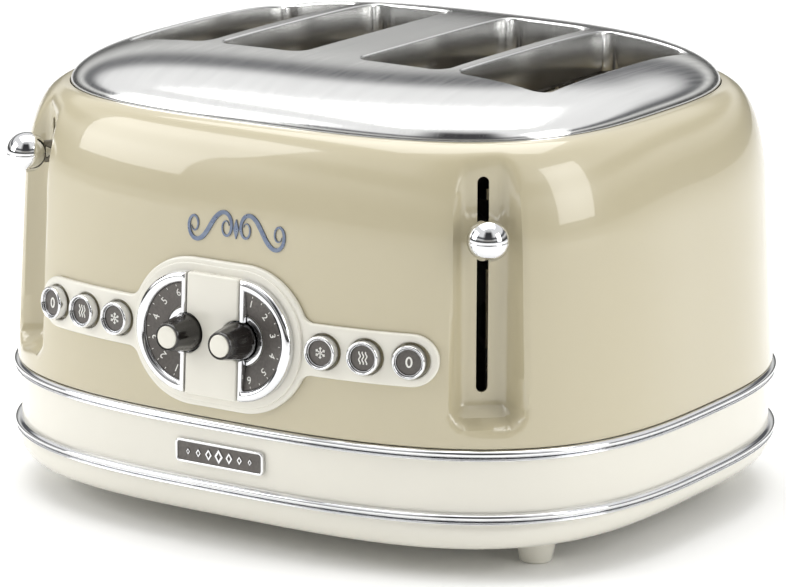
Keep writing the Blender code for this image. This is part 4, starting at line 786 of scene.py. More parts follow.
def bead_tree():
    kinds = [("half width", "Float"), ("half depth", "Float"), ("power", "Float"), ("middle", "Vector")]
    kinds += [("bead depth", "Float"), ("bead height", "Float"), ("material", "Material")]
    tree, given = new_tree("bead_round_the_base", kinds)
    circle = add_node(tree, "GeometryNodeCurvePrimitiveCircle", {"Resolution": 1440, "Radius": 1.0})
    place = add_node(tree, "GeometryNodeInputPosition").outputs["Position"]
    parts = add_node(tree, "ShaderNodeSeparateXYZ", {"Vector": place})
    exponent = add_node(tree, "ShaderNodeMath", {0: 2.0, 1: given["power"]}, operation="DIVIDE").outputs[0]
    stretched = {}
    for axis, size in (("X", "half width"), ("Y", "half depth")):
        part = {0: parts.outputs[axis]}
        unsigned = add_node(tree, "ShaderNodeMath", part, operation="ABSOLUTE").outputs[0]
        raised = add_node(tree, "ShaderNodeMath", {0: unsigned, 1: exponent}, operation="POWER").outputs[0]
        sign = add_node(tree, "ShaderNodeMath", part, operation="SIGN").outputs[0]
        signed = add_node(tree, "ShaderNodeMath", {0: raised, 1: sign}, operation="MULTIPLY").outputs[0]
        inputs = {0: signed, 1: given[size]}
        stretched[axis] = add_node(tree, "ShaderNodeMath", inputs, operation="MULTIPLY").outputs[0]
    plan = add_node(tree, "ShaderNodeCombineXYZ", stretched)
    inputs = {0: plan.outputs["Vector"], 1: given["middle"]}
    moved = add_node(tree, "ShaderNodeVectorMath", inputs, operation="ADD").outputs["Vector"]
    inputs = {"Geometry": circle.outputs["Curve"], "Position": moved}
    path = add_node(tree, "GeometryNodeSetPosition", inputs)
    even = add_node(tree, "GeometryNodeResampleCurve", {"Curve": path.outputs["Geometry"], "Count": 720})
    upright = add_node(tree, "GeometryNodeSetCurveNormal", {"Curve": even.outputs["Curve"]}, mode="Z_UP")
    both = add_node(tree, "GeometryNodeJoinGeometry")
    for share, drop in ((BEAD_SHARE, BEAD_SHARE - 1), (1 - BEAD_SHARE, BEAD_SHARE)):
        circle = add_node(tree, "GeometryNodeCurvePrimitiveCircle", {"Resolution": 28, "Radius": 1.0})
        deep = ROUND_SHOULDER + (1 - ROUND_SHOULDER) * share / BEAD_SHARE
        scaled = {}
        for key, whole, part in (("Y", "bead height", share * ROUND_OVERLAP), ("X", "bead depth", deep),
                                 ("shift", "bead height", drop)):
            inputs = {0: given[whole], 1: part}
            scaled[key] = add_node(tree, "ShaderNodeMath", inputs, operation="MULTIPLY").outputs[0]
        place = add_node(tree, "ShaderNodeCombineXYZ", {"Y": scaled.pop("shift")})
        size = add_node(tree, "ShaderNodeCombineXYZ", scaled | {"Z": 1.0})
        inputs = {"Geometry": circle.outputs["Curve"], "Scale": size.outputs["Vector"]}
        inputs["Translation"] = place.outputs["Vector"]
        profile = add_node(tree, "GeometryNodeTransform", inputs)
        tree.links.new(profile.outputs["Geometry"], both.inputs["Geometry"])
    inputs = {"Curve": upright.outputs["Curve"], "Profile Curve": both.outputs["Geometry"]}
    swept = add_node(tree, "GeometryNodeCurveToMesh", inputs)
    end_tree(tree, swept.outputs["Mesh"], given["material"])
    return tree


bead = bead_tree()
BEAD_DEPTH = 3.0 * MM
for level in ("lower", "upper"):
    low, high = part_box(f"trim_ring_{level}")
    strip = grown(
        f"chrome_bead_{level}", bead, half_width=HALF_WIDTH - BEAD_DEPTH, half_depth=HALF_DEPTH - BEAD_DEPTH,
        power=BASE_POWER, middle=(0, MIDDLE_Y, (low.z + high.z) / 2), bead_depth=BEAD_DEPTH,
        bead_height=RING_HEIGHT / 2, material=chrome,
    )
    place_piece(strip, "housing", "chrome", f"trim_ring_{level}", sharp=60)

# %% Feet
FOOT_PROFILE = [(0, 0), (6.1 * MM, 0), (6.7 * MM, 0.2 * MM), (7 * MM, 0.8 * MM), (7.6 * MM, 3.5 * MM)]
FOOT_PROFILE += [(8.6 * MM, 8 * MM), (9.5 * MM, base_low.z - 0.5 * MM), (0, base_low.z - 0.3 * MM)]
for end in ("front", "rear"):
    for side_name, _ in SIDES:
        low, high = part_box(f"foot_{end}_{side_name}")
        middle = Matrix.Translation(((low.x + high.x) / 2, (low.y + high.y) / 2, 0))
        foot = make_object(f"moulded_foot_{end}_{side_name}", turned(FOOT_PROFILE, 64, middle), cream)
        place_piece(foot, "housing", "cream_plastic", f"foot_{end}_{side_name}", sharp=50)

# %% [markdown]
# ## Plates with soft edges
# The panel, its raised parts, the icons and the badge are all plates: an outline, sometimes with
# holes, a thickness and a small rounded edge. A constrained Delaunay triangulation fills the face,
# with extra points inside where it must bend, and the walls are strips along each loop. A plate's
# own (u, v, height) then go through a function that lays it flat on a frame or round the body.

# %% Plate maker
def loop_moved_in(loop, distance):
    """A closed loop moved to its left by a distance, with each corner's own bisector."""
    points = np.array(loop)
    before, after = points - np.roll(points, 1, 0), np.roll(points, -1, 0) - points
    before /= np.linalg.norm(before, axis=1, keepdims=True)
    after /= np.linalg.norm(after, axis=1, keepdims=True)
    normal = np.column_stack((-(before + after)[:, 1], (before + after)[:, 0]))
    normal /= np.linalg.norm(normal, axis=1, keepdims=True)
    cosine = np.clip(-before[:, 1] * normal[:, 0] + before[:, 0] * normal[:, 1], 0.5, 1)
    return points + normal * (distance / cosine)[:, None]


def inside_loop(points, loop):
    """Which points lie inside a closed loop, by counting the edges crossed."""
    x, y = points[:, 0][:, None], points[:, 1][:, None]
    a, b = np.array(loop), np.roll(np.array(loop), -1, 0)
    spans = (a[:, 1] > y) != (b[:, 1] > y)
    rise = np.where(b[:, 1] == a[:, 1], 1, b[:, 1] - a[:, 1])
    return (spans & (x < (b[:, 0] - a[:, 0]) * (y - a[:, 1]) / rise + a[:, 0])).sum(1) % 2 == 1


def filled(loops, pitch):
    """Points and triangles of the area in the first loop and outside the others."""
    points, edges = [], []
    for loop in loops:
        start = len(points)
        points += [tuple(p) for p in loop]
        edges += [(start + i, start + (i + 1) % len(loop)) for i in range(len(loop))]
    if pitch:
        low, high = np.min(loops[0], 0), np.max(loops[0], 0)
        across, up = [np.arange(low[k], high[k], pitch) for k in (0, 1)]
        grid = np.stack(np.meshgrid(across, up), -1).reshape(-1, 2)
        keep = inside_loop(grid, loop_moved_in(loops[0], pitch / 3))
        for loop in loops[1:]:
            keep &= ~inside_loop(grid, loop_moved_in(loop, pitch / 3))
        points += [tuple(p) for p in grid[keep]]
    made = delaunay_2d_cdt([Vector(p) for p in points], edges, [], 0, 1e-7)
    flat = np.array([tuple(v) for v in made[0]])
    triangles = np.array([f for f in made[2]])
    middles = flat[triangles].mean(1)
    keep = inside_loop(middles, loops[0])
    for loop in loops[1:]:
        keep &= ~inside_loop(middles, loop)
    return flat, [tuple(t) for t in triangles[keep]]


def plate(outer_loop, hole_loops, bottom, top, edge, laid, pitch=0.0, edge_steps=3):
    """A closed plate. outer_loop is anticlockwise, hole_loops clockwise; laid maps (u, v, h) arrays."""
    loops = [outer_loop, *hole_loops]
    parts = []
    for height, inset, flip in ((top, edge, False), (bottom, 0.0, True)):
        flat, triangles = filled([loop_moved_in(loop, inset) for loop in loops], pitch)
        vertices = laid(flat[:, 0], flat[:, 1], np.full(len(flat), height))
        parts.append((list(map(tuple, vertices)), [t[::-1] for t in triangles] if flip else triangles))
    for loop in loops:
        steps = [(0.0, bottom)]
        for step in range(edge_steps + 1):
            turn = math.pi / 2 * step / edge_steps
            steps.append((edge * (1 - math.cos(turn)), top - edge * (1 - math.sin(turn))))
        if not edge:
            steps = steps[:2]
        rings = []
        for inset, height in steps:
            points = loop_moved_in(loop, inset)
            rings.append(laid(points[:, 0], points[:, 1], np.full(len(points), height)))
        parts.append(loft(rings, closed=False))
    return joined(*parts)


def on_frame(matrix):
    """Lays plate coordinates flat on a frame."""
    rotation, origin = np.array(matrix.to_3x3()), np.array(matrix.translation)
    return lambda u, v, h: np.column_stack((u, v, h)) @ rotation.T + origin


def on_front(u, v, h):
    """Lays plate coordinates round the body's front; h is the height above the enamel."""
    return front_surface(u, v + PANEL_Z, h)[0]


def make_plate(name, finish, *shapes):
    obj = make_object(name, joined(*shapes), finish)
    merge_points(obj)
    return obj


def circle(middle, radius, steps, clockwise=False):
    points = arc(middle, radius, 0, 360, steps)[:-1]
    return points[::-1] if clockwise else points


# %% [markdown]
# ## The control panel
# One moulding: an oval with two wings that hugs the body's front, a flat platform in the oval for
# the dials, and a raised pillar between them. The pillar is notched so that the knobs can turn.

# %% Panel
BEZEL_RADIUS, BEZEL_RIM, BEZEL_BAR, BEZEL_RISE = 26.6 * MM, 5.1 * MM, 2.8 * MM, 4.2 * MM
OVAL_RADIUS, WING_HALF, NECK_RADIUS = BEZEL_RADIUS + 5.6 * MM, 11.3 * MM, 6 * MM
OVAL_HALF_WIDTH = DIAL_X + OVAL_RADIUS
PLATFORM_MARGIN, PILLAR_RISE = 2.2 * MM, 3.8 * MM
BUTTON_HOLE, FOOT_DEPTH = 7.8 * MM, 0.6 * MM
DISC_ROOM, KNOB_ROOM, DISC_TOP = 11.7 * MM, 8.7 * MM, 1.8 * MM


def panel_outline():
    """The oval with its two wings, anticlockwise."""
    middle = OVAL_HALF_WIDTH - OVAL_RADIUS
    turn = math.asin((WING_HALF + NECK_RADIUS) / (OVAL_RADIUS + NECK_RADIUS))
    reach = middle + (OVAL_RADIUS + NECK_RADIUS) * math.cos(turn)
    start = math.degrees(turn)
    right = arc((PANEL_HIGH.x - WING_HALF, 0), WING_HALF, 0, 90, 20)
    neck = arc((reach, WING_HALF + NECK_RADIUS), NECK_RADIUS, 270, 180 + start, 8)
    quarter = arc((middle, 0), OVAL_RADIUS, start, 90, 30)[1:]
    upper = right + neck + quarter
    half = upper + [(-x, z) for x, z in reversed(upper)]
    return subdivided(half + [(x, -z) for x, z in reversed(half)][1:-1], 3 * MM)


def oval(radius, half_width):
    middle = half_width - radius
    return arc((middle, 0), radius, -90, 90, 40) + arc((-middle, 0), radius, 90, 270, 40)


def notched_pillar():
    """The pillar's outline, with a round notch for each knob."""
    half, tall = DIAL_X - PANEL_GAP, BEZEL_RADIUS
    turn = math.degrees(math.acos((DIAL_X - half) / KNOB_ROOM))
    right = arc((DIAL_X, 0), KNOB_ROOM, 180 + turn, 180 - turn, 24)
    corner_low = arc((half - MM, MM - tall), MM, -90, 0, 3)
    corner_high = arc((half - MM, tall - MM), MM, 0, 90, 3)
    side = corner_low + right + corner_high
    return subdivided(side + [(-x, -y) for x, y in side], 3 * MM)


button_holes = []
for _, side in SIDES:
    for name in BUTTONS:
        button_holes.append(circle((side * BUTTON_X[name], 0), BUTTON_HOLE, 48, clockwise=True))
shaft_holes = [circle((side * DIAL_X, 0), SHAFT_HOLE, 24, clockwise=True) for _, side in SIDES]
PANEL_TOP = PANEL_GAP + PANEL_THICK
panel_holes = button_holes + shaft_holes
sheet = plate(panel_outline(), panel_holes, PANEL_GAP, PANEL_TOP, 1.0 * MM, on_front, 3.5 * MM, 5)
dial_middle = on_frame(facing(0, PANEL_TOP + PLATFORM_PROUD))
platform_outline = oval(OVAL_RADIUS - PLATFORM_MARGIN, OVAL_HALF_WIDTH - PLATFORM_MARGIN)
platform = plate(platform_outline, shaft_holes, -1.6 * MM, 0, 0.5 * MM, dial_middle, 0, 4)
pillar = plate(notched_pillar(), [], DISC_TOP, PILLAR_RISE, 0.8 * MM, dial_middle, 0, 4)
foot_half = DIAL_X - DISC_ROOM
foot_outline = rounded_rectangle(foot_half, BEZEL_RADIUS, MM, 2)
pillar_foot = plate(foot_outline, [], -FOOT_DEPTH, DISC_TOP, 0, dial_middle)
side_feet = []
for _, side in SIDES:
    for up in (1, -1):
        middle = (side * (DIAL_X - PANEL_GAP + foot_half) / 2, up * (BEZEL_RADIUS + DISC_ROOM) / 2)
        half = ((DIAL_X - PANEL_GAP - foot_half) / 2, (BEZEL_RADIUS - DISC_ROOM) / 2)
        block = [(x + middle[0], y + middle[1]) for x, y in rounded_rectangle(*half, 0.5 * MM, 2)]
        side_feet.append(plate(block, [], -FOOT_DEPTH, DISC_TOP, 0, dial_middle))
panel = make_plate("moulded_panel", cream, sheet, platform, pillar, pillar_foot, *side_feet)
place_piece(panel, "housing", "cream_plastic", "control_panel", sharp=45)

# %% [markdown]
# ## Dials: bezel, scale and print
# The bezel is a die-cast D, domed across its rim, so a loft between its outer and inner outline
# makes it. The scale is a shallow cone that tips the numbers towards the cook. The numbers are text
# made into meshes and laid on the cone; they and the ticks stand a hair proud, as thick ink does.

# %% Bezels
WINDOW_RADIUS = BEZEL_RADIUS - BEZEL_RIM
RIM_EDGE, RIM_POWER = 1.4 * MM, 2.4
ARC_STEPS, BAR_STEPS, CUT_ABOVE = 72, 24, 6 * MM


def half_moon(radius, start):
    """A half disc's outline, anticlockwise, cut straight at x = start."""
    edge = math.degrees(math.acos(start / radius))
    curve = arc((0, 0), radius, -edge, edge, ARC_STEPS)
    top = curve[-1][1]
    return curve + [(start, top * (1 - 2 * i / BAR_STEPS)) for i in range(1, BAR_STEPS)]


def bezel_shape(laid):
    outer = np.array(half_moon(BEZEL_RADIUS, PANEL_GAP))
    window = np.array(half_moon(WINDOW_RADIUS, BEZEL_BAR))
    rings, across = [], [(0.0, PANEL_GAP)]
    for phi in np.linspace(0, math.pi, 19):
        t = (1 - math.cos(phi)) / 2
        swell = (1 - abs(2 * t - 1) ** RIM_POWER) ** (1 / RIM_POWER)
        across.append((t, RIM_EDGE + (BEZEL_RISE - RIM_EDGE) * swell))
    across.append((1.0, PANEL_GAP))
    for t, height in across:
        points = outer * (1 - t) + window * t
        rings.append(laid(points[:, 0], points[:, 1], np.full(len(points), height)))
    return loft(rings)


def flipped(shape):
    return shape[0], [face[::-1] for face in shape[1]]


def dial_laid(side):
    """Lays a right-hand dial's plate coordinates on either dial, mirrored on the left."""
    flat = on_frame(dial_frame(side))
    return lambda u, v, h: flat(side * np.asarray(u), v, h)


for side_name, side in SIDES:
    shape = bezel_shape(dial_laid(side))
    bezel = make_object(f"cast_bezel_{side_name}", shape if side > 0 else flipped(shape), chrome)
    room = [(0, 0), (DISC_ROOM, 0), (DISC_ROOM, DISC_TOP), (KNOB_ROOM, DISC_TOP)]
    room += [(KNOB_ROOM, CUT_ABOVE), (0, CUT_ABOVE)]
    cut(bezel, turned(room, 64, dial_frame(side)))
    place_piece(bezel, "housing", "chrome", f"dial_bezel_{side_name}", sharp=50)


# %% Scales, numbers and ticks
SCALE_INNER, SCALE_LOW, SCALE_TIP = DISC_ROOM, 0.9 * MM, 1.5 * MM
NUMBER_RADIUS, NUMBER_SIZE, INK = 17.2 * MM, 4.6 * MM, 0.06 * MM
FIRST_NUMBER, NUMBER_STEP = math.radians(72), math.radians(28.8)
TICK_RADII, TICK_WIDTH, TICK_CLEARANCE = (20.1 * MM, 20.9 * MM), 0.3 * MM, 1 * MM
SCALE_GAP = 0.1 * MM


def cone_height(u, v):
    radius = np.hypot(u, v)
    return SCALE_LOW + SCALE_TIP * (radius - SCALE_INNER) / (WINDOW_RADIUS - SCALE_INNER)


def on_cone(side):
    flat = on_frame(dial_frame(side))
    return lambda u, v, h: flat(np.asarray(u), v, cone_height(u, v) + h)


def scale_shape(side):
    reach, start = WINDOW_RADIUS - SCALE_GAP, BEZEL_BAR + SCALE_GAP
    outer, inner = half_moon(reach, start), half_moon(SCALE_INNER, start)
    laid = on_cone(side)
    rings = []
    for t, height in ((0, -1.2 * MM), (0, 0), (0.33, 0), (0.66, 0), (1, 0), (1, -0.6 * MM)):
        points = (np.array(outer) * (1 - t) + np.array(inner) * t) * (side, 1)
        rings.append(laid(points[:, 0], points[:, 1], np.full(len(points), height)))
    shape = loft(rings)
    return shape if side > 0 else flipped(shape)


def text_shape(text, size, middle, turn, laid):
    """A numeral as a thin closed mesh, centred, turned and laid on a surface."""
    curve = bpy.data.curves.new("numeral", "FONT")
    curve.body, curve.size, curve.extrude = text, size, INK
    curve.align_x, curve.align_y, curve.resolution_u = "CENTER", "CENTER", 3
    obj = bpy.data.objects.new("numeral", curve)
    bpy.context.scene.collection.objects.link(obj)
    mesh = bpy.data.meshes.new_from_object(obj.evaluated_get(bpy.context.evaluated_depsgraph_get()))
    bpy.data.objects.remove(obj)
    points = np.array([v.co for v in mesh.vertices])
    c, s = math.cos(turn), math.sin(turn)
    u = middle[0] + c * points[:, 0] - s * points[:, 1]
    v = middle[1] + s * points[:, 0] + c * points[:, 1]
    return list(map(tuple, laid(u, v, points[:, 2] + INK))), [tuple(p.vertices) for p in mesh.polygons]


def ribbon(points, width, bottom, top, laid):
    """A flat stroke along points, as a closed strip; width is one number or one for each point."""
    points = np.asarray(points, float)
    tangent = np.gradient(points, axis=0)
    tangent /= np.linalg.norm(tangent, axis=1, keepdims=True)
    widths = np.broadcast_to(width, len(points))[:, None]
    side = np.column_stack((-tangent[:, 1], tangent[:, 0])) * widths / 2
    rings = []
    for edge, height in ((-1, bottom), (-1, top), (1, top), (1, bottom)):
        moved = points + edge * side
        rings.append(laid(moved[:, 0], moved[:, 1], np.full(len(moved), height)))
    rows, count = 4, len(points)
    vertices = [tuple(p) for ring in rings for p in ring]
    faces = []
    for row in range(rows):
        low, high = row * count, (row + 1) % rows * count
        faces += [(low + i, low + i + 1, high + i + 1, high + i) for i in range(count - 1)]
    start_cap = tuple(row * count for row in range(rows))
    faces += [start_cap, tuple(i + count - 1 for i in start_cap)[::-1]]
    return vertices, faces


for side_name, side in SIDES:
    scale = make_object(f"conical_scale_{side_name}", scale_shape(side), lacquer)
    place_piece(scale, "housing", "dial_grey", f"dial_scale_{side_name}", sharp=40)
    print_shapes = []
    for number in range(1, 7):
        lean = FIRST_NUMBER - NUMBER_STEP * (number - 1)
        around = lean if side > 0 else math.pi + lean
        middle = (NUMBER_RADIUS * math.cos(around), NUMBER_RADIUS * math.sin(around))
        upright = around - math.pi / 2
        print_shapes.append(text_shape(str(number), NUMBER_SIZE, middle, upright, on_cone(side)))
        for share in (0, 0.5):
            angle = around - NUMBER_STEP * share
            tick = [(r * math.cos(angle), r * math.sin(angle)) for r in TICK_RADII]
            if abs(tick[0][0]) > BEZEL_BAR + TICK_CLEARANCE and abs(math.sin(angle)) < 0.97:
                print_shapes.append(ribbon(tick, TICK_WIDTH, -INK, INK, on_cone(side)))
    numbers = make_object(f"scale_print_{side_name}", joined(*print_shapes), white_ink)
    place_piece(numbers, "housing", "dial_grey")

# %% [markdown]
# ## Knobs and the pointer
# Each knob is pressed phenolic on the dial's shaft. It tapers to a cream cap, and twelve shallow
# flutes give the fingers a hold; a radius that swings a little with the angle makes them. Under it a
# chrome disc turns along, half hidden by the bezel's bar, and a black mark on it is the pointer.

# %% Knobs, caps and discs
FLUTES, FLUTE_DEPTH = 12, 0.22 * MM
KNOB_PROFILE = [  # radius, height above the platform, share of the flutes' depth
    (7.7, 1.6, 0), (8.1, 1.7, 0), (8.2, 2.1, 0), (8.18, 3.4, 0), (8.1, 4.6, 0.4), (7.9, 6.2, 1),
    (7.55, 8.6, 1), (7.15, 11.0, 1), (6.75, 13.4, 1), (6.4, 15.2, 0.8), (6.1, 16.4, 0.3), (5.9, 16.95, 0),
    (5.65, 17.25, 0), (5.35, 17.2, 0), (5.15, 16.95, 0), (5.1, 15.9, 0),
]
CAP_PROFILE = [(0, 15.9), (4.9, 15.9), (4.9, 17.0), (4.75, 17.25), (4.4, 17.38), (2.5, 17.46), (0, 17.49)]
DISC_PROFILE = [(0, -12), (3, -12), (3, 0.3), (10.9, 0.3), (11.2, 0.5), (11.2, 1.0), (11.0, 1.25)]
DISC_PROFILE += [(10.6, 1.3), (8.6, 1.3), (8.4, 1.15), (0, 1.15)]
MARK_RADII, MARK_WIDTH, MARK_LOW, MARK_HIGH = (8.9 * MM, 10.9 * MM), 2.0 * MM, 1.2 * MM, 1.36 * MM


def in_mm(profile):
    return [(r * MM, h * MM) for r, h in profile]


def knob_shape(matrix, steps=144):
    angles = 2 * np.pi * np.arange(steps) / steps
    rings = []
    for radius, height, share in KNOB_PROFILE:
        around = radius * MM - share * FLUTE_DEPTH * (1 - np.cos(FLUTES * angles)) / 2
        level = np.full(steps, height * MM)
        rings.append(np.column_stack((around * np.cos(angles), around * np.sin(angles), level)))
    vertices, faces = loft(rings, closed=False, caps=True)
    return [tuple(matrix @ Vector(v)) for v in vertices], faces


for side_name, side in SIDES:
    place, dial = dial_frame(side), f"dial_{side_name}"
    knob = make_object(f"fluted_knob_{side_name}", knob_shape(place), phenolic)
    place_piece(knob, dial, "black_plastic", f"dial_knob_{side_name}", sharp=40)
    cap = make_object(f"cream_cap_{side_name}", turned(in_mm(CAP_PROFILE), 64, place), cream)
    place_piece(cap, dial, "cream_plastic", f"knob_cap_{side_name}", sharp=50)
    disc = make_object(f"chrome_disc_{side_name}", turned(in_mm(DISC_PROFILE), 96, place), chrome)
    place_piece(disc, dial, "chrome", f"pointer_disc_{side_name}", sharp=40)
    line = [(side * r, 0) for r in MARK_RADII]
    mark = ribbon(line, MARK_WIDTH, MARK_LOW, MARK_HIGH, on_frame(place))
    pointer = make_object(f"pointer_mark_{side_name}", mark, black_ink)
    place_piece(pointer, dial, "black_plastic")

# %% [markdown]
# ## Push buttons
# Each button is a chrome-plated ring with a step inside and a dark disc that carries its sign: a
# snowflake for defrosting, rising heat for warming again, and a nought to cancel. The signs are
# strokes of even width on the disc. They're common signs, drawn here from lines and waves.

# %% Buttons
RING_PROFILE = [(0, -12), (3, -12), (3, -0.3), (7.0, -0.3), (7.3, 0), (7.3, 2.6)]
RING_PROFILE += [(6.65 + 0.65 * math.cos(t), 3.3 + 0.9 * math.sin(t)) for t in np.linspace(0, math.pi, 13)]
RING_PROFILE += [(5.98, 2.5), (5.86, 2.45), (5.8, 2.9), (5.7, 3.05), (5.58, 3.05), (5.5, 2.9)]
RING_PROFILE += [(5.45, 1.0), (0, 1.0)]
FACE_PROFILE = [(0, 1.1), (5.35, 1.1), (5.35, 2.35), (5.25, 2.5), (4.9, 2.52), (0, 2.4)]
SIGN_LOW, SIGN_HIGH, STROKE = 2.35 * MM, 2.6 * MM, 0.5 * MM


def polar(radius, angle):
    return np.array((radius * math.cos(angle), radius * math.sin(angle)))


def snowflake():
    strokes = []
    for k in range(6):
        angle = math.pi / 2 + k * math.pi / 3
        strokes.append([polar(0.25 * MM, angle), polar(2.5 * MM, angle)])
        for lean in (-0.7, 0.7):
            root = polar(1.45 * MM, angle)
            strokes.append([root, root + polar(0.85 * MM, angle + lean)])
    return strokes, 0.42 * MM


def rising_heat():
    heights = np.linspace(-2.7, 2.7, 21)
    wave = [(0.35 * MM * math.sin(2.1 * h), h * MM) for h in heights]
    return [[(x * MM + u, v) for u, v in wave] for x in (-1.5, 0, 1.5)], STROKE


def nought():
    turns = np.linspace(0, 2 * math.pi, 33)
    return [[(1.15 * MM * math.cos(t), 2.0 * MM * math.sin(t)) for t in turns]], 0.75 * MM


SIGNS = {"defrost": snowflake, "reheat": rising_heat, "cancel": nought}
for side_name, side in SIDES:
    for name in BUTTONS:
        place, tag = button_frame(name, side), f"{name}_{side_name}"
        rides = f"button_{tag}"
        ring = make_object(f"chrome_button_{tag}", turned(in_mm(RING_PROFILE), 72, place), chrome)
        place_piece(ring, rides, "chrome", f"button_ring_{tag}", sharp=40)
        face = make_object(f"dark_disc_{tag}", turned(in_mm(FACE_PROFILE), 64, place), lacquer)
        place_piece(face, rides, "dial_grey", f"button_face_{tag}", sharp=40)
        strokes, width = SIGNS[name]()
        shapes = [ribbon(stroke, width, SIGN_LOW, SIGN_HIGH, on_frame(place)) for stroke in strokes]
        sign = make_object(f"sign_{tag}", joined(*shapes), white_ink)
        place_piece(sign, rides, "dial_grey")

# %% [markdown]
# ## Badge and flourish
# The real one carries a name on a badge and a word above the panel. Neither is drawn: the badge gets
# a plain row of lozenges, and a pair of scrolls about a small drop takes the word's place. A scroll
# is an Euler spiral, the curve whose bend grows evenly along its length, so it coils up at both
# ends; its stroke is wide in the middle and thin in the coils, as a broad pen's is.

# %% Badge
badge_low, badge_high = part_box("badge_plate")
BADGE_Z, BADGE_HALF, BADGE_TALL = (badge_low.z + badge_high.z) / 2, badge_high.x, badge_high.z - badge_low.z


def on_band(u, v, h):
    """Lays plate coordinates round the base's band."""
    power = BASE_POWER
    u = np.asarray(u, float)
    y = -(BAND_B + h) * (1 - np.abs(u / (BAND_A + h)) ** power) ** (1 / power) + MIDDLE_Y
    return np.column_stack((u, y, np.asarray(v) + BADGE_Z))


tall = BADGE_TALL / 2
badge_outline = subdivided(rounded_rectangle(BADGE_HALF, tall, 2.2 * MM, 6), 3 * MM)
badge_field = subdivided(rounded_rectangle(BADGE_HALF - 1.1 * MM, tall - 1.1 * MM, 1.3 * MM, 6), 3 * MM)
frame_shape = plate(badge_outline, [badge_field[::-1]], 0.3 * MM, 1.9 * MM, 0.35 * MM, on_band)
badge_frame = make_plate("badge_frame", chrome, frame_shape)
place_piece(badge_frame, "housing", "chrome", "badge_plate", sharp=50)
field = make_plate("badge_field", lacquer, plate(badge_field, [], 0.3 * MM, 1.3 * MM, 0, on_band))
place_piece(field, "housing", "dial_grey", sharp=50)
lozenges = []
for i, size in enumerate((0.45, 0.6, 0.8, 1.0, 0.8, 0.6, 0.45)):
    middle, high, wide = (i - 3) * 5.4 * MM, 3.3 * MM * size, 2.2 * MM * size
    diamond = [(middle, -high), (middle + wide, 0), (middle, high), (middle - wide, 0)]
    inner_diamond = [(middle + (u - middle) * 0.5, v * 0.5) for u, v in diamond]
    lozenges.append(plate(diamond, [inner_diamond[::-1]], 1.2 * MM, 1.75 * MM, 0.12 * MM, on_band))
motif = make_plate("badge_lozenges", chrome, *lozenges)
place_piece(motif, "housing", "chrome", sharp=30)

# %% Flourish
SCROLL_MIDDLE, SCROLL_Z, SCROLL_HALF, SCROLL_TALL = 7 * MM, 142.5 * MM, 24.5 * MM, 13 * MM
SCROLL_START, CURL, FIRST_HEADING = 2.4 * MM, 8.4, -0.8
DROP_HALF, STROKE_LOW, STROKE_HIGH, DROP_HIGH = 4.2 * MM, -0.1 * MM, 0.55 * MM, 0.6 * MM
scroll_v = SCROLL_Z - PANEL_Z
t = np.linspace(-1, 1, 360)
heading = CURL * t**2 + FIRST_HEADING
curve = np.column_stack((np.cumsum(np.cos(heading)), np.cumsum(np.sin(heading))))
curve = (curve - curve.min(axis=0)) / np.ptp(curve, axis=0)
pen = (0.55 + 1.5 * (1 - t**2) ** 2) * MM * np.clip(12 * (1 - np.abs(t)), 0.3, 1)
strokes = []
for _, side in SIDES:
    u = SCROLL_MIDDLE + side * (SCROLL_START + (SCROLL_HALF - SCROLL_START) * curve[:, 0])
    v = scroll_v + SCROLL_TALL * (curve[:, 1] - 0.5)
    strokes.append(ribbon(np.column_stack((u, v)), pen, STROKE_LOW, STROKE_HIGH, on_front))
drop = np.linspace(-1, 1, 41)
line = np.column_stack((np.full(len(drop), SCROLL_MIDDLE), scroll_v + DROP_HALF * drop))
drop_pen = (0.2 + 2.6 * (1 - np.abs(drop))) * MM
strokes.append(ribbon(line, drop_pen, STROKE_LOW, DROP_HIGH, on_front))
flourish = make_object("cast_flourish", joined(*strokes), pewter)
place_piece(flourish, "housing", "chrome", sharp=30)

# %% [markdown]
# ## Levers
# The ball is two chromed half shells, so a hairline groove runs round its middle. It sits on a short
# collar at the end of the flat steel blade that comes out through the body's slot.

# %% Balls and collars
GROOVE_WIDTH, GROOVE_DEPTH = 0.3 * MM, 0.2 * MM
COLLAR_PROFILE = [(0, -11.2), (2.2, -11.2), (2.4, -10.9), (2.5, -10.2), (3.6, -8.6), (3.8, -7.5), (0, -7.5)]


def ball_profile():
    points = [(0, -BALL_RADIUS)]
    for angle in np.linspace(-88, 88, 65):
        height = BALL_RADIUS * math.sin(math.radians(angle))
        dip = GROOVE_DEPTH * math.exp(-((height / GROOVE_WIDTH) ** 2))
        points.append(((BALL_RADIUS - dip) * math.cos(math.radians(angle)), height))
    shares = ((-0.3, 0.3), (-0.15, 0.8), (0.15, 0.8), (0.3, 0.3))
    groove = [(BALL_RADIUS - GROOVE_DEPTH * share, height * MM) for height, share in shares]
    points = sorted(points + groove, key=lambda p: p[1])
    return points + [(0, BALL_RADIUS)]


for side_name, side in SIDES:
    low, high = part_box(f"lever_knob_{side_name}")
    middle, rides = (low + high) / 2, f"lever_{side_name}"
    shape = turned(ball_profile(), 96, Matrix.Translation(middle))
    ball = make_object(f"chrome_ball_{side_name}", shape, chrome)
    place_piece(ball, rides, "chrome", f"lever_knob_{side_name}", sharp=60)
    out = Vector((side * OUTWARD[0], OUTWARD[1], 0))
    across = Vector((0, 0, 1)).cross(out)
    rotation = Matrix((across, Vector((0, 0, 1)), out)).transposed().to_4x4()
    collar = turned(in_mm(COLLAR_PROFILE), 48, Matrix.Translation(middle) @ rotation)
    neck = make_object(f"lever_collar_{side_name}", collar, chrome)
    place_piece(neck, rides, "chrome", sharp=50)
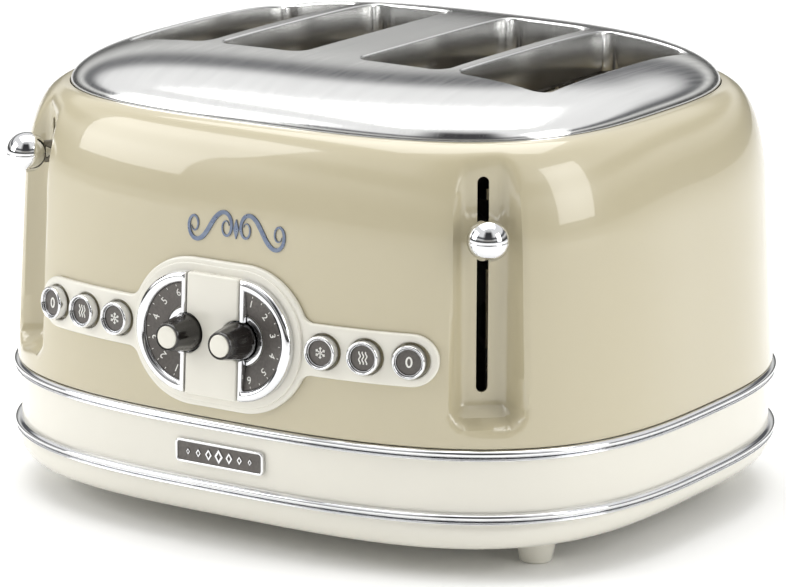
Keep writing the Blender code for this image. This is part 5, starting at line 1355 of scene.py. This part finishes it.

# %% [markdown]
# ## Inside: springs, bread cages and heater wire
# What shows down the slots repeats: upright wires in a row, and heater wire wound on mica. One
# Geometry Nodes tree makes a row of rods, which serves both. A spiral with a round profile makes the
# return springs, each filling its spring node's place between the fixed shelf and the carriage.

# %% Rods in a row
def rod_row_tree():
    kinds = [("first", "Vector"), ("step", "Vector"), ("count", "Int"), ("rod", "Vector")]
    kinds += [("radius", "Float"), ("material", "Material")]
    tree, given = new_tree("rods_in_a_row", kinds)
    inputs = {"Count": given["count"], "Start Location": given["first"], "Offset": given["step"]}
    places = add_node(tree, "GeometryNodeMeshLine", inputs, mode="OFFSET")
    line = add_node(tree, "GeometryNodeCurvePrimitiveLine", {"Start": (0, 0, 0), "End": given["rod"]})
    inputs = {"Resolution": 10, "Radius": given["radius"]}
    profile = add_node(tree, "GeometryNodeCurvePrimitiveCircle", inputs)
    inputs = {"Curve": line.outputs["Curve"], "Profile Curve": profile.outputs["Curve"], "Fill Caps": True}
    rod = add_node(tree, "GeometryNodeCurveToMesh", inputs)
    inputs = {"Points": places.outputs["Mesh"], "Instance": rod.outputs["Mesh"]}
    row = add_node(tree, "GeometryNodeInstanceOnPoints", inputs)
    end_tree(tree, row.outputs["Instances"], given["material"])
    return tree


def mesh_shape(obj):
    """Takes an object's mesh as vertices and faces, and removes the object."""
    shape = [tuple(v.co) for v in obj.data.vertices], [tuple(p.vertices) for p in obj.data.polygons]
    bpy.data.objects.remove(obj)
    return shape


rods = rod_row_tree()


def rod_row(first, step, count, rod, radius, material):
    values = {"first": first, "step": step, "count": count, "rod": rod, "radius": radius}
    return mesh_shape(grown("row", rods, material=material, **values))


# %% Bread cages
CAGE_WIRE, UPRIGHT_WIRE, UPRIGHTS, GRID_FOOT, LEG_TRIM = 1.0 * MM, 0.8 * MM, 8, 13 * MM, 4 * MM
for side_name, _ in SIDES:
    for way_name, trim in (("plus", 0), ("minus", LEG_TRIM)):
        name = f"bread_guide_{way_name}_{side_name}"
        low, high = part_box(name)
        front, back = low.y + CAGE_WIRE, high.y - CAGE_WIRE
        top, foot, grid_low = high.z - CAGE_WIRE, low.z + CAGE_WIRE, low.z + GRID_FOOT
        pitch, length = (back - front) / (UPRIGHTS - 1), back - front
        tall, leg = top - grid_low, grid_low - foot
        leg_start, leg_length = front + trim, back - front - 2 * trim
        shapes = []
        for x in (low.x + CAGE_WIRE, high.x - CAGE_WIRE):
            corner, leg_foot = (x, front, grid_low), (x, leg_start, foot)
            shapes.append(rod_row(corner, (0, pitch, 0), UPRIGHTS, (0, 0, tall), UPRIGHT_WIRE, wire))
            shapes.append(rod_row(corner, (0, 0, tall), 2, (0, length, 0), CAGE_WIRE, wire))
            shapes.append(rod_row(leg_foot, (0, leg_length, 0), 2, (0, 0, leg), CAGE_WIRE, wire))
        first, width = (low.x + CAGE_WIRE, leg_start, foot), high.x - low.x - 2 * CAGE_WIRE
        shapes.append(rod_row(first, (0, leg_length, 0), 2, (width, 0, 0), CAGE_WIRE, wire))
        cage = make_object(f"wire_cage_{way_name}_{side_name}", joined(*shapes), wire)
        place_piece(cage, f"guide_{way_name}_{side_name}", "bright_wire", name, sharp=40)

# %% Heater wire on its boards
HEATER_WIRE, HEATER_PITCH, WINDING_MARGIN, WIRE_MARGIN = 0.4 * MM, 9 * MM, 20 * MM, 8 * MM
for side_name, _ in SIDES:
    for which in ("inner", "middle", "outer"):
        low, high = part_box(f"heater_board_{which}_{side_name}")
        count = int((high.y - low.y - WINDING_MARGIN) / HEATER_PITCH) + 1
        first_y = (low.y + high.y) / 2 - (count - 1) / 2 * HEATER_PITCH
        shapes = []
        for x in (low.x - HEATER_WIRE / 2, high.x + HEATER_WIRE / 2):
            first, rod = (x, first_y, low.z + WIRE_MARGIN), (0, 0, high.z - low.z - 2 * WIRE_MARGIN)
            step = (0, HEATER_PITCH, 0)
            shapes.append(rod_row(first, step, count, rod, HEATER_WIRE, heater_wire))
        wound = make_object(f"heater_wire_{which}_{side_name}", joined(*shapes), heater_wire)
        place_piece(wound, "housing", "bright_wire", sharp=40)


# %% Return springs
def spring_tree():
    kinds = [("middle", "Vector"), ("radius", "Float"), ("height", "Float"), ("turns", "Float")]
    kinds += [("wire radius", "Float"), ("material", "Material")]
    tree, given = new_tree("return_spring", kinds)
    inputs = {"Resolution": 24, "Rotations": given["turns"], "Start Radius": given["radius"]}
    inputs |= {"End Radius": given["radius"], "Height": given["height"]}
    spiral = add_node(tree, "GeometryNodeCurveSpiral", inputs)
    inputs = {"Geometry": spiral.outputs["Curve"], "Translation": given["middle"]}
    placed = add_node(tree, "GeometryNodeTransform", inputs)
    inputs = {"Resolution": 10, "Radius": given["wire radius"]}
    profile = add_node(tree, "GeometryNodeCurvePrimitiveCircle", inputs)
    inputs = {"Curve": placed.outputs["Geometry"], "Profile Curve": profile.outputs["Curve"]}
    inputs["Fill Caps"] = True
    coil = add_node(tree, "GeometryNodeCurveToMesh", inputs)
    end_tree(tree, coil.outputs["Mesh"], given["material"])
    return tree


SPRING_WIRE, SPRING_TURNS = 0.45 * MM, 7.0
springs = spring_tree()
for side_name, _ in SIDES:
    low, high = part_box(f"carriage_spring_{side_name}")
    middle, radius = (low + high) / 2, (high.x - low.x) / 2 - SPRING_WIRE
    coil = grown(
        f"return_spring_{side_name}", springs, middle=(middle.x, middle.y, low.z + SPRING_WIRE),
        radius=radius, height=high.z - low.z - 2 * SPRING_WIRE, turns=SPRING_TURNS,
        wire_radius=SPRING_WIRE, material=wire,
    )
    coil.data.shade_smooth()
    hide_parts(f"carriage_spring_{side_name}")
    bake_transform(coil)
    print(f"{coil.name}: {len(coil.data.polygons)} faces, stretches with lever_{side_name}")

# %% [markdown]
# ## Nodes that keep their shape
# The chambers, carriages, blades, rods, magnets, tray, board and gland are right as they are: they
# only need their finishes. Each goes into the material slot that the node came with.

# %% Finishes for the kept nodes
KEPT = {"toast_chamber": zinc, "carriage": zinc, "lever_arm": zinc, "guide_rod": wire, "latch_magnet": nylon}
KEPT |= {"heater_board": mica, "crumb_tray": zinc, "control_board": board_green, "cord_gland": nylon}
for name, node in frame["nodes"].items():
    kind = next((k for k in KEPT if name.startswith(k) and not node.hide_render), None)
    if kind:
        for index in range(len(node.material_slots)):
            node.material_slots[index].material = KEPT[kind]
left = [name for name, node in frame["nodes"].items() if not node.hide_render]
print(f"{len(left)} nodes keep their shape:", ", ".join(sorted(left)))

# %% [markdown]
# ## Studio
# A product shot on a white sweep: a big soft box overhead, one on each side towards the front, and a
# pale room. Chrome and brushed steel show nothing but their surroundings, so the room isn't one even
# white: it darkens in a belt between the boxes and the floor, and that belt draws the edges. Low
# down stand black flags that only mirror-like surfaces see, which give the chrome its dark line.

# %% Room, floor and soft boxes
VIEW_AZIMUTH, VIEW_ELEVATION, VIEW_ROLL = math.radians(32.95), math.radians(13.8), math.radians(0.18)


def room_light():
    """A pale room: light low down, a dark belt, white above, and a dark gap where the cook stands."""
    world = bpy.data.worlds.new("studio_room")
    bpy.context.scene.world = world
    world.use_nodes = True
    tree = world.node_tree
    tree.nodes.clear()
    way = add_node(tree, "ShaderNodeTexCoord").outputs["Generated"]
    height = add_node(tree, "ShaderNodeSeparateXYZ", {"Vector": way}).outputs["Z"]
    inputs = {0: way, 1: (1, 1, 0)}
    level = add_node(tree, "ShaderNodeVectorMath", inputs, operation="MULTIPLY").outputs["Vector"]
    level = add_node(tree, "ShaderNodeVectorMath", {0: level}, operation="NORMALIZE").outputs["Vector"]
    inputs = {0: level, 1: (math.sin(VIEW_AZIMUTH), -math.cos(VIEW_AZIMUTH), 0)}
    ahead = add_node(tree, "ShaderNodeVectorMath", inputs, operation="DOT_PRODUCT").outputs["Value"]
    around = ((0.0, "#F4F4F2"), (0.26, "#ECECEA"), (0.33, "#5C5D60"), (0.42, "#6A6B6E"), (0.5, "#FFFFFF"))
    in_front = ((0.0, "#E4E2DC"), (0.2, "#D6D3CC"), (0.3, "#4A4A4C"), (0.8, "#3C3C3E"), (0.93, "#F0F0F0"))
    colours = []
    for stops in (around, in_front):
        ramp = add_node(tree, "ShaderNodeValToRGB", {"Fac": height})
        while len(ramp.color_ramp.elements) < len(stops):
            ramp.color_ramp.elements.new(0.5)
        for element, (position, code) in zip(ramp.color_ramp.elements, stops):
            element.position, element.color = position, colour(code)
        colours.append(ramp.outputs["Color"])
    share = spread(tree, ahead, 0, 1, 0.82, 0.95)
    inputs = {"Factor": share, "A": colours[0], "B": colours[1]}
    mixed = add_node(tree, "ShaderNodeMix", inputs, data_type="RGBA").outputs[2]
    mirrored = add_node(tree, "ShaderNodeLightPath").outputs["Is Glossy Ray"]
    flag = spread(tree, height, 0.1, 1, 0.1, 0.24)
    inputs = {"Factor": mirrored, "A": (1, 1, 1, 1), "B": flag}
    shade = add_node(tree, "ShaderNodeMix", inputs, data_type="RGBA").outputs[2]
    inputs = {"Factor": 1, "A": mixed, "B": shade}
    flagged = add_node(tree, "ShaderNodeMix", inputs, data_type="RGBA", blend_type="MULTIPLY").outputs[2]
    light = add_node(tree, "ShaderNodeBackground", {"Color": flagged, "Strength": 0.95})
    add_node(tree, "ShaderNodeOutputWorld", {"Surface": light.outputs["Background"]})


def soft_box(name, place, width, height, power):
    """A rectangular light that faces the toaster's middle."""
    light = bpy.data.lights.new(name, "AREA")
    light.shape, light.size, light.size_y, light.energy = "RECTANGLE", width, height, power
    obj = bpy.data.objects.new(name, light)
    obj.location = place
    obj.rotation_euler = (Vector((0, 0, 0.1)) - Vector(place)).to_track_quat("-Z", "Y").to_euler()
    bpy.context.scene.collection.objects.link(obj)


def floor_finish():
    """Matt white paper roll with a faint tooth."""
    finish, tree, shader = new_finish("white_paper_sweep", {"Specular IOR Level": 0.1})
    tone = two_tone(tree, noise_on_object(tree, 0.3), "#F6F6F5", "#F9F9F8")
    tree.links.new(tone, shader.inputs["Base Color"])
    tree.links.new(spread(tree, noise_on_object(tree, 0.01), 0.8, 0.9), shader.inputs["Roughness"])
    return finish


room_light()
soft_box("box_overhead", (-0.2, 0.2, 2.0), 2.0, 1.6, 30)
soft_box("box_left", (-1.7, -1.4, 1.1), 1.3, 1.5, 22)
soft_box("box_right", (2.0, 0.1, 0.9), 0.9, 1.4, 14)
bpy.context.scene.view_settings.view_transform = "Standard"
FLOOR_HALF_SIZE = 6.0
corners = [(-1, -1), (1, -1), (1, 1), (-1, 1)]
floor_shape = [(x * FLOOR_HALF_SIZE, y * FLOOR_HALF_SIZE, -0.05 * MM) for x, y in corners], [(0, 1, 2, 3)]
floor = make_object("paper_floor", floor_shape, floor_finish())

# %% Camera
VIEW_DISTANCE, LENS = 1.9446, 196.2
target = Vector((0, MIDDLE_Y, 86.68 * MM))
away = Vector((
    math.sin(VIEW_AZIMUTH) * math.cos(VIEW_ELEVATION), -math.cos(VIEW_AZIMUTH) * math.cos(VIEW_ELEVATION),
    math.sin(VIEW_ELEVATION),
))
camera_data = bpy.data.cameras.new("camera")
camera_data.lens, camera_data.sensor_width = LENS, 36
camera_data.shift_x, camera_data.shift_y = -0.0028, -0.0022
camera = bpy.data.objects.new("camera", camera_data)
camera.location = target + away * VIEW_DISTANCE
turn = (-away).to_track_quat("-Z", "Y").to_matrix() @ Matrix.Rotation(VIEW_ROLL, 3, "Z")
camera.rotation_euler = turn.to_euler()
bpy.context.scene.collection.objects.link(camera)
bpy.context.scene.camera = camera
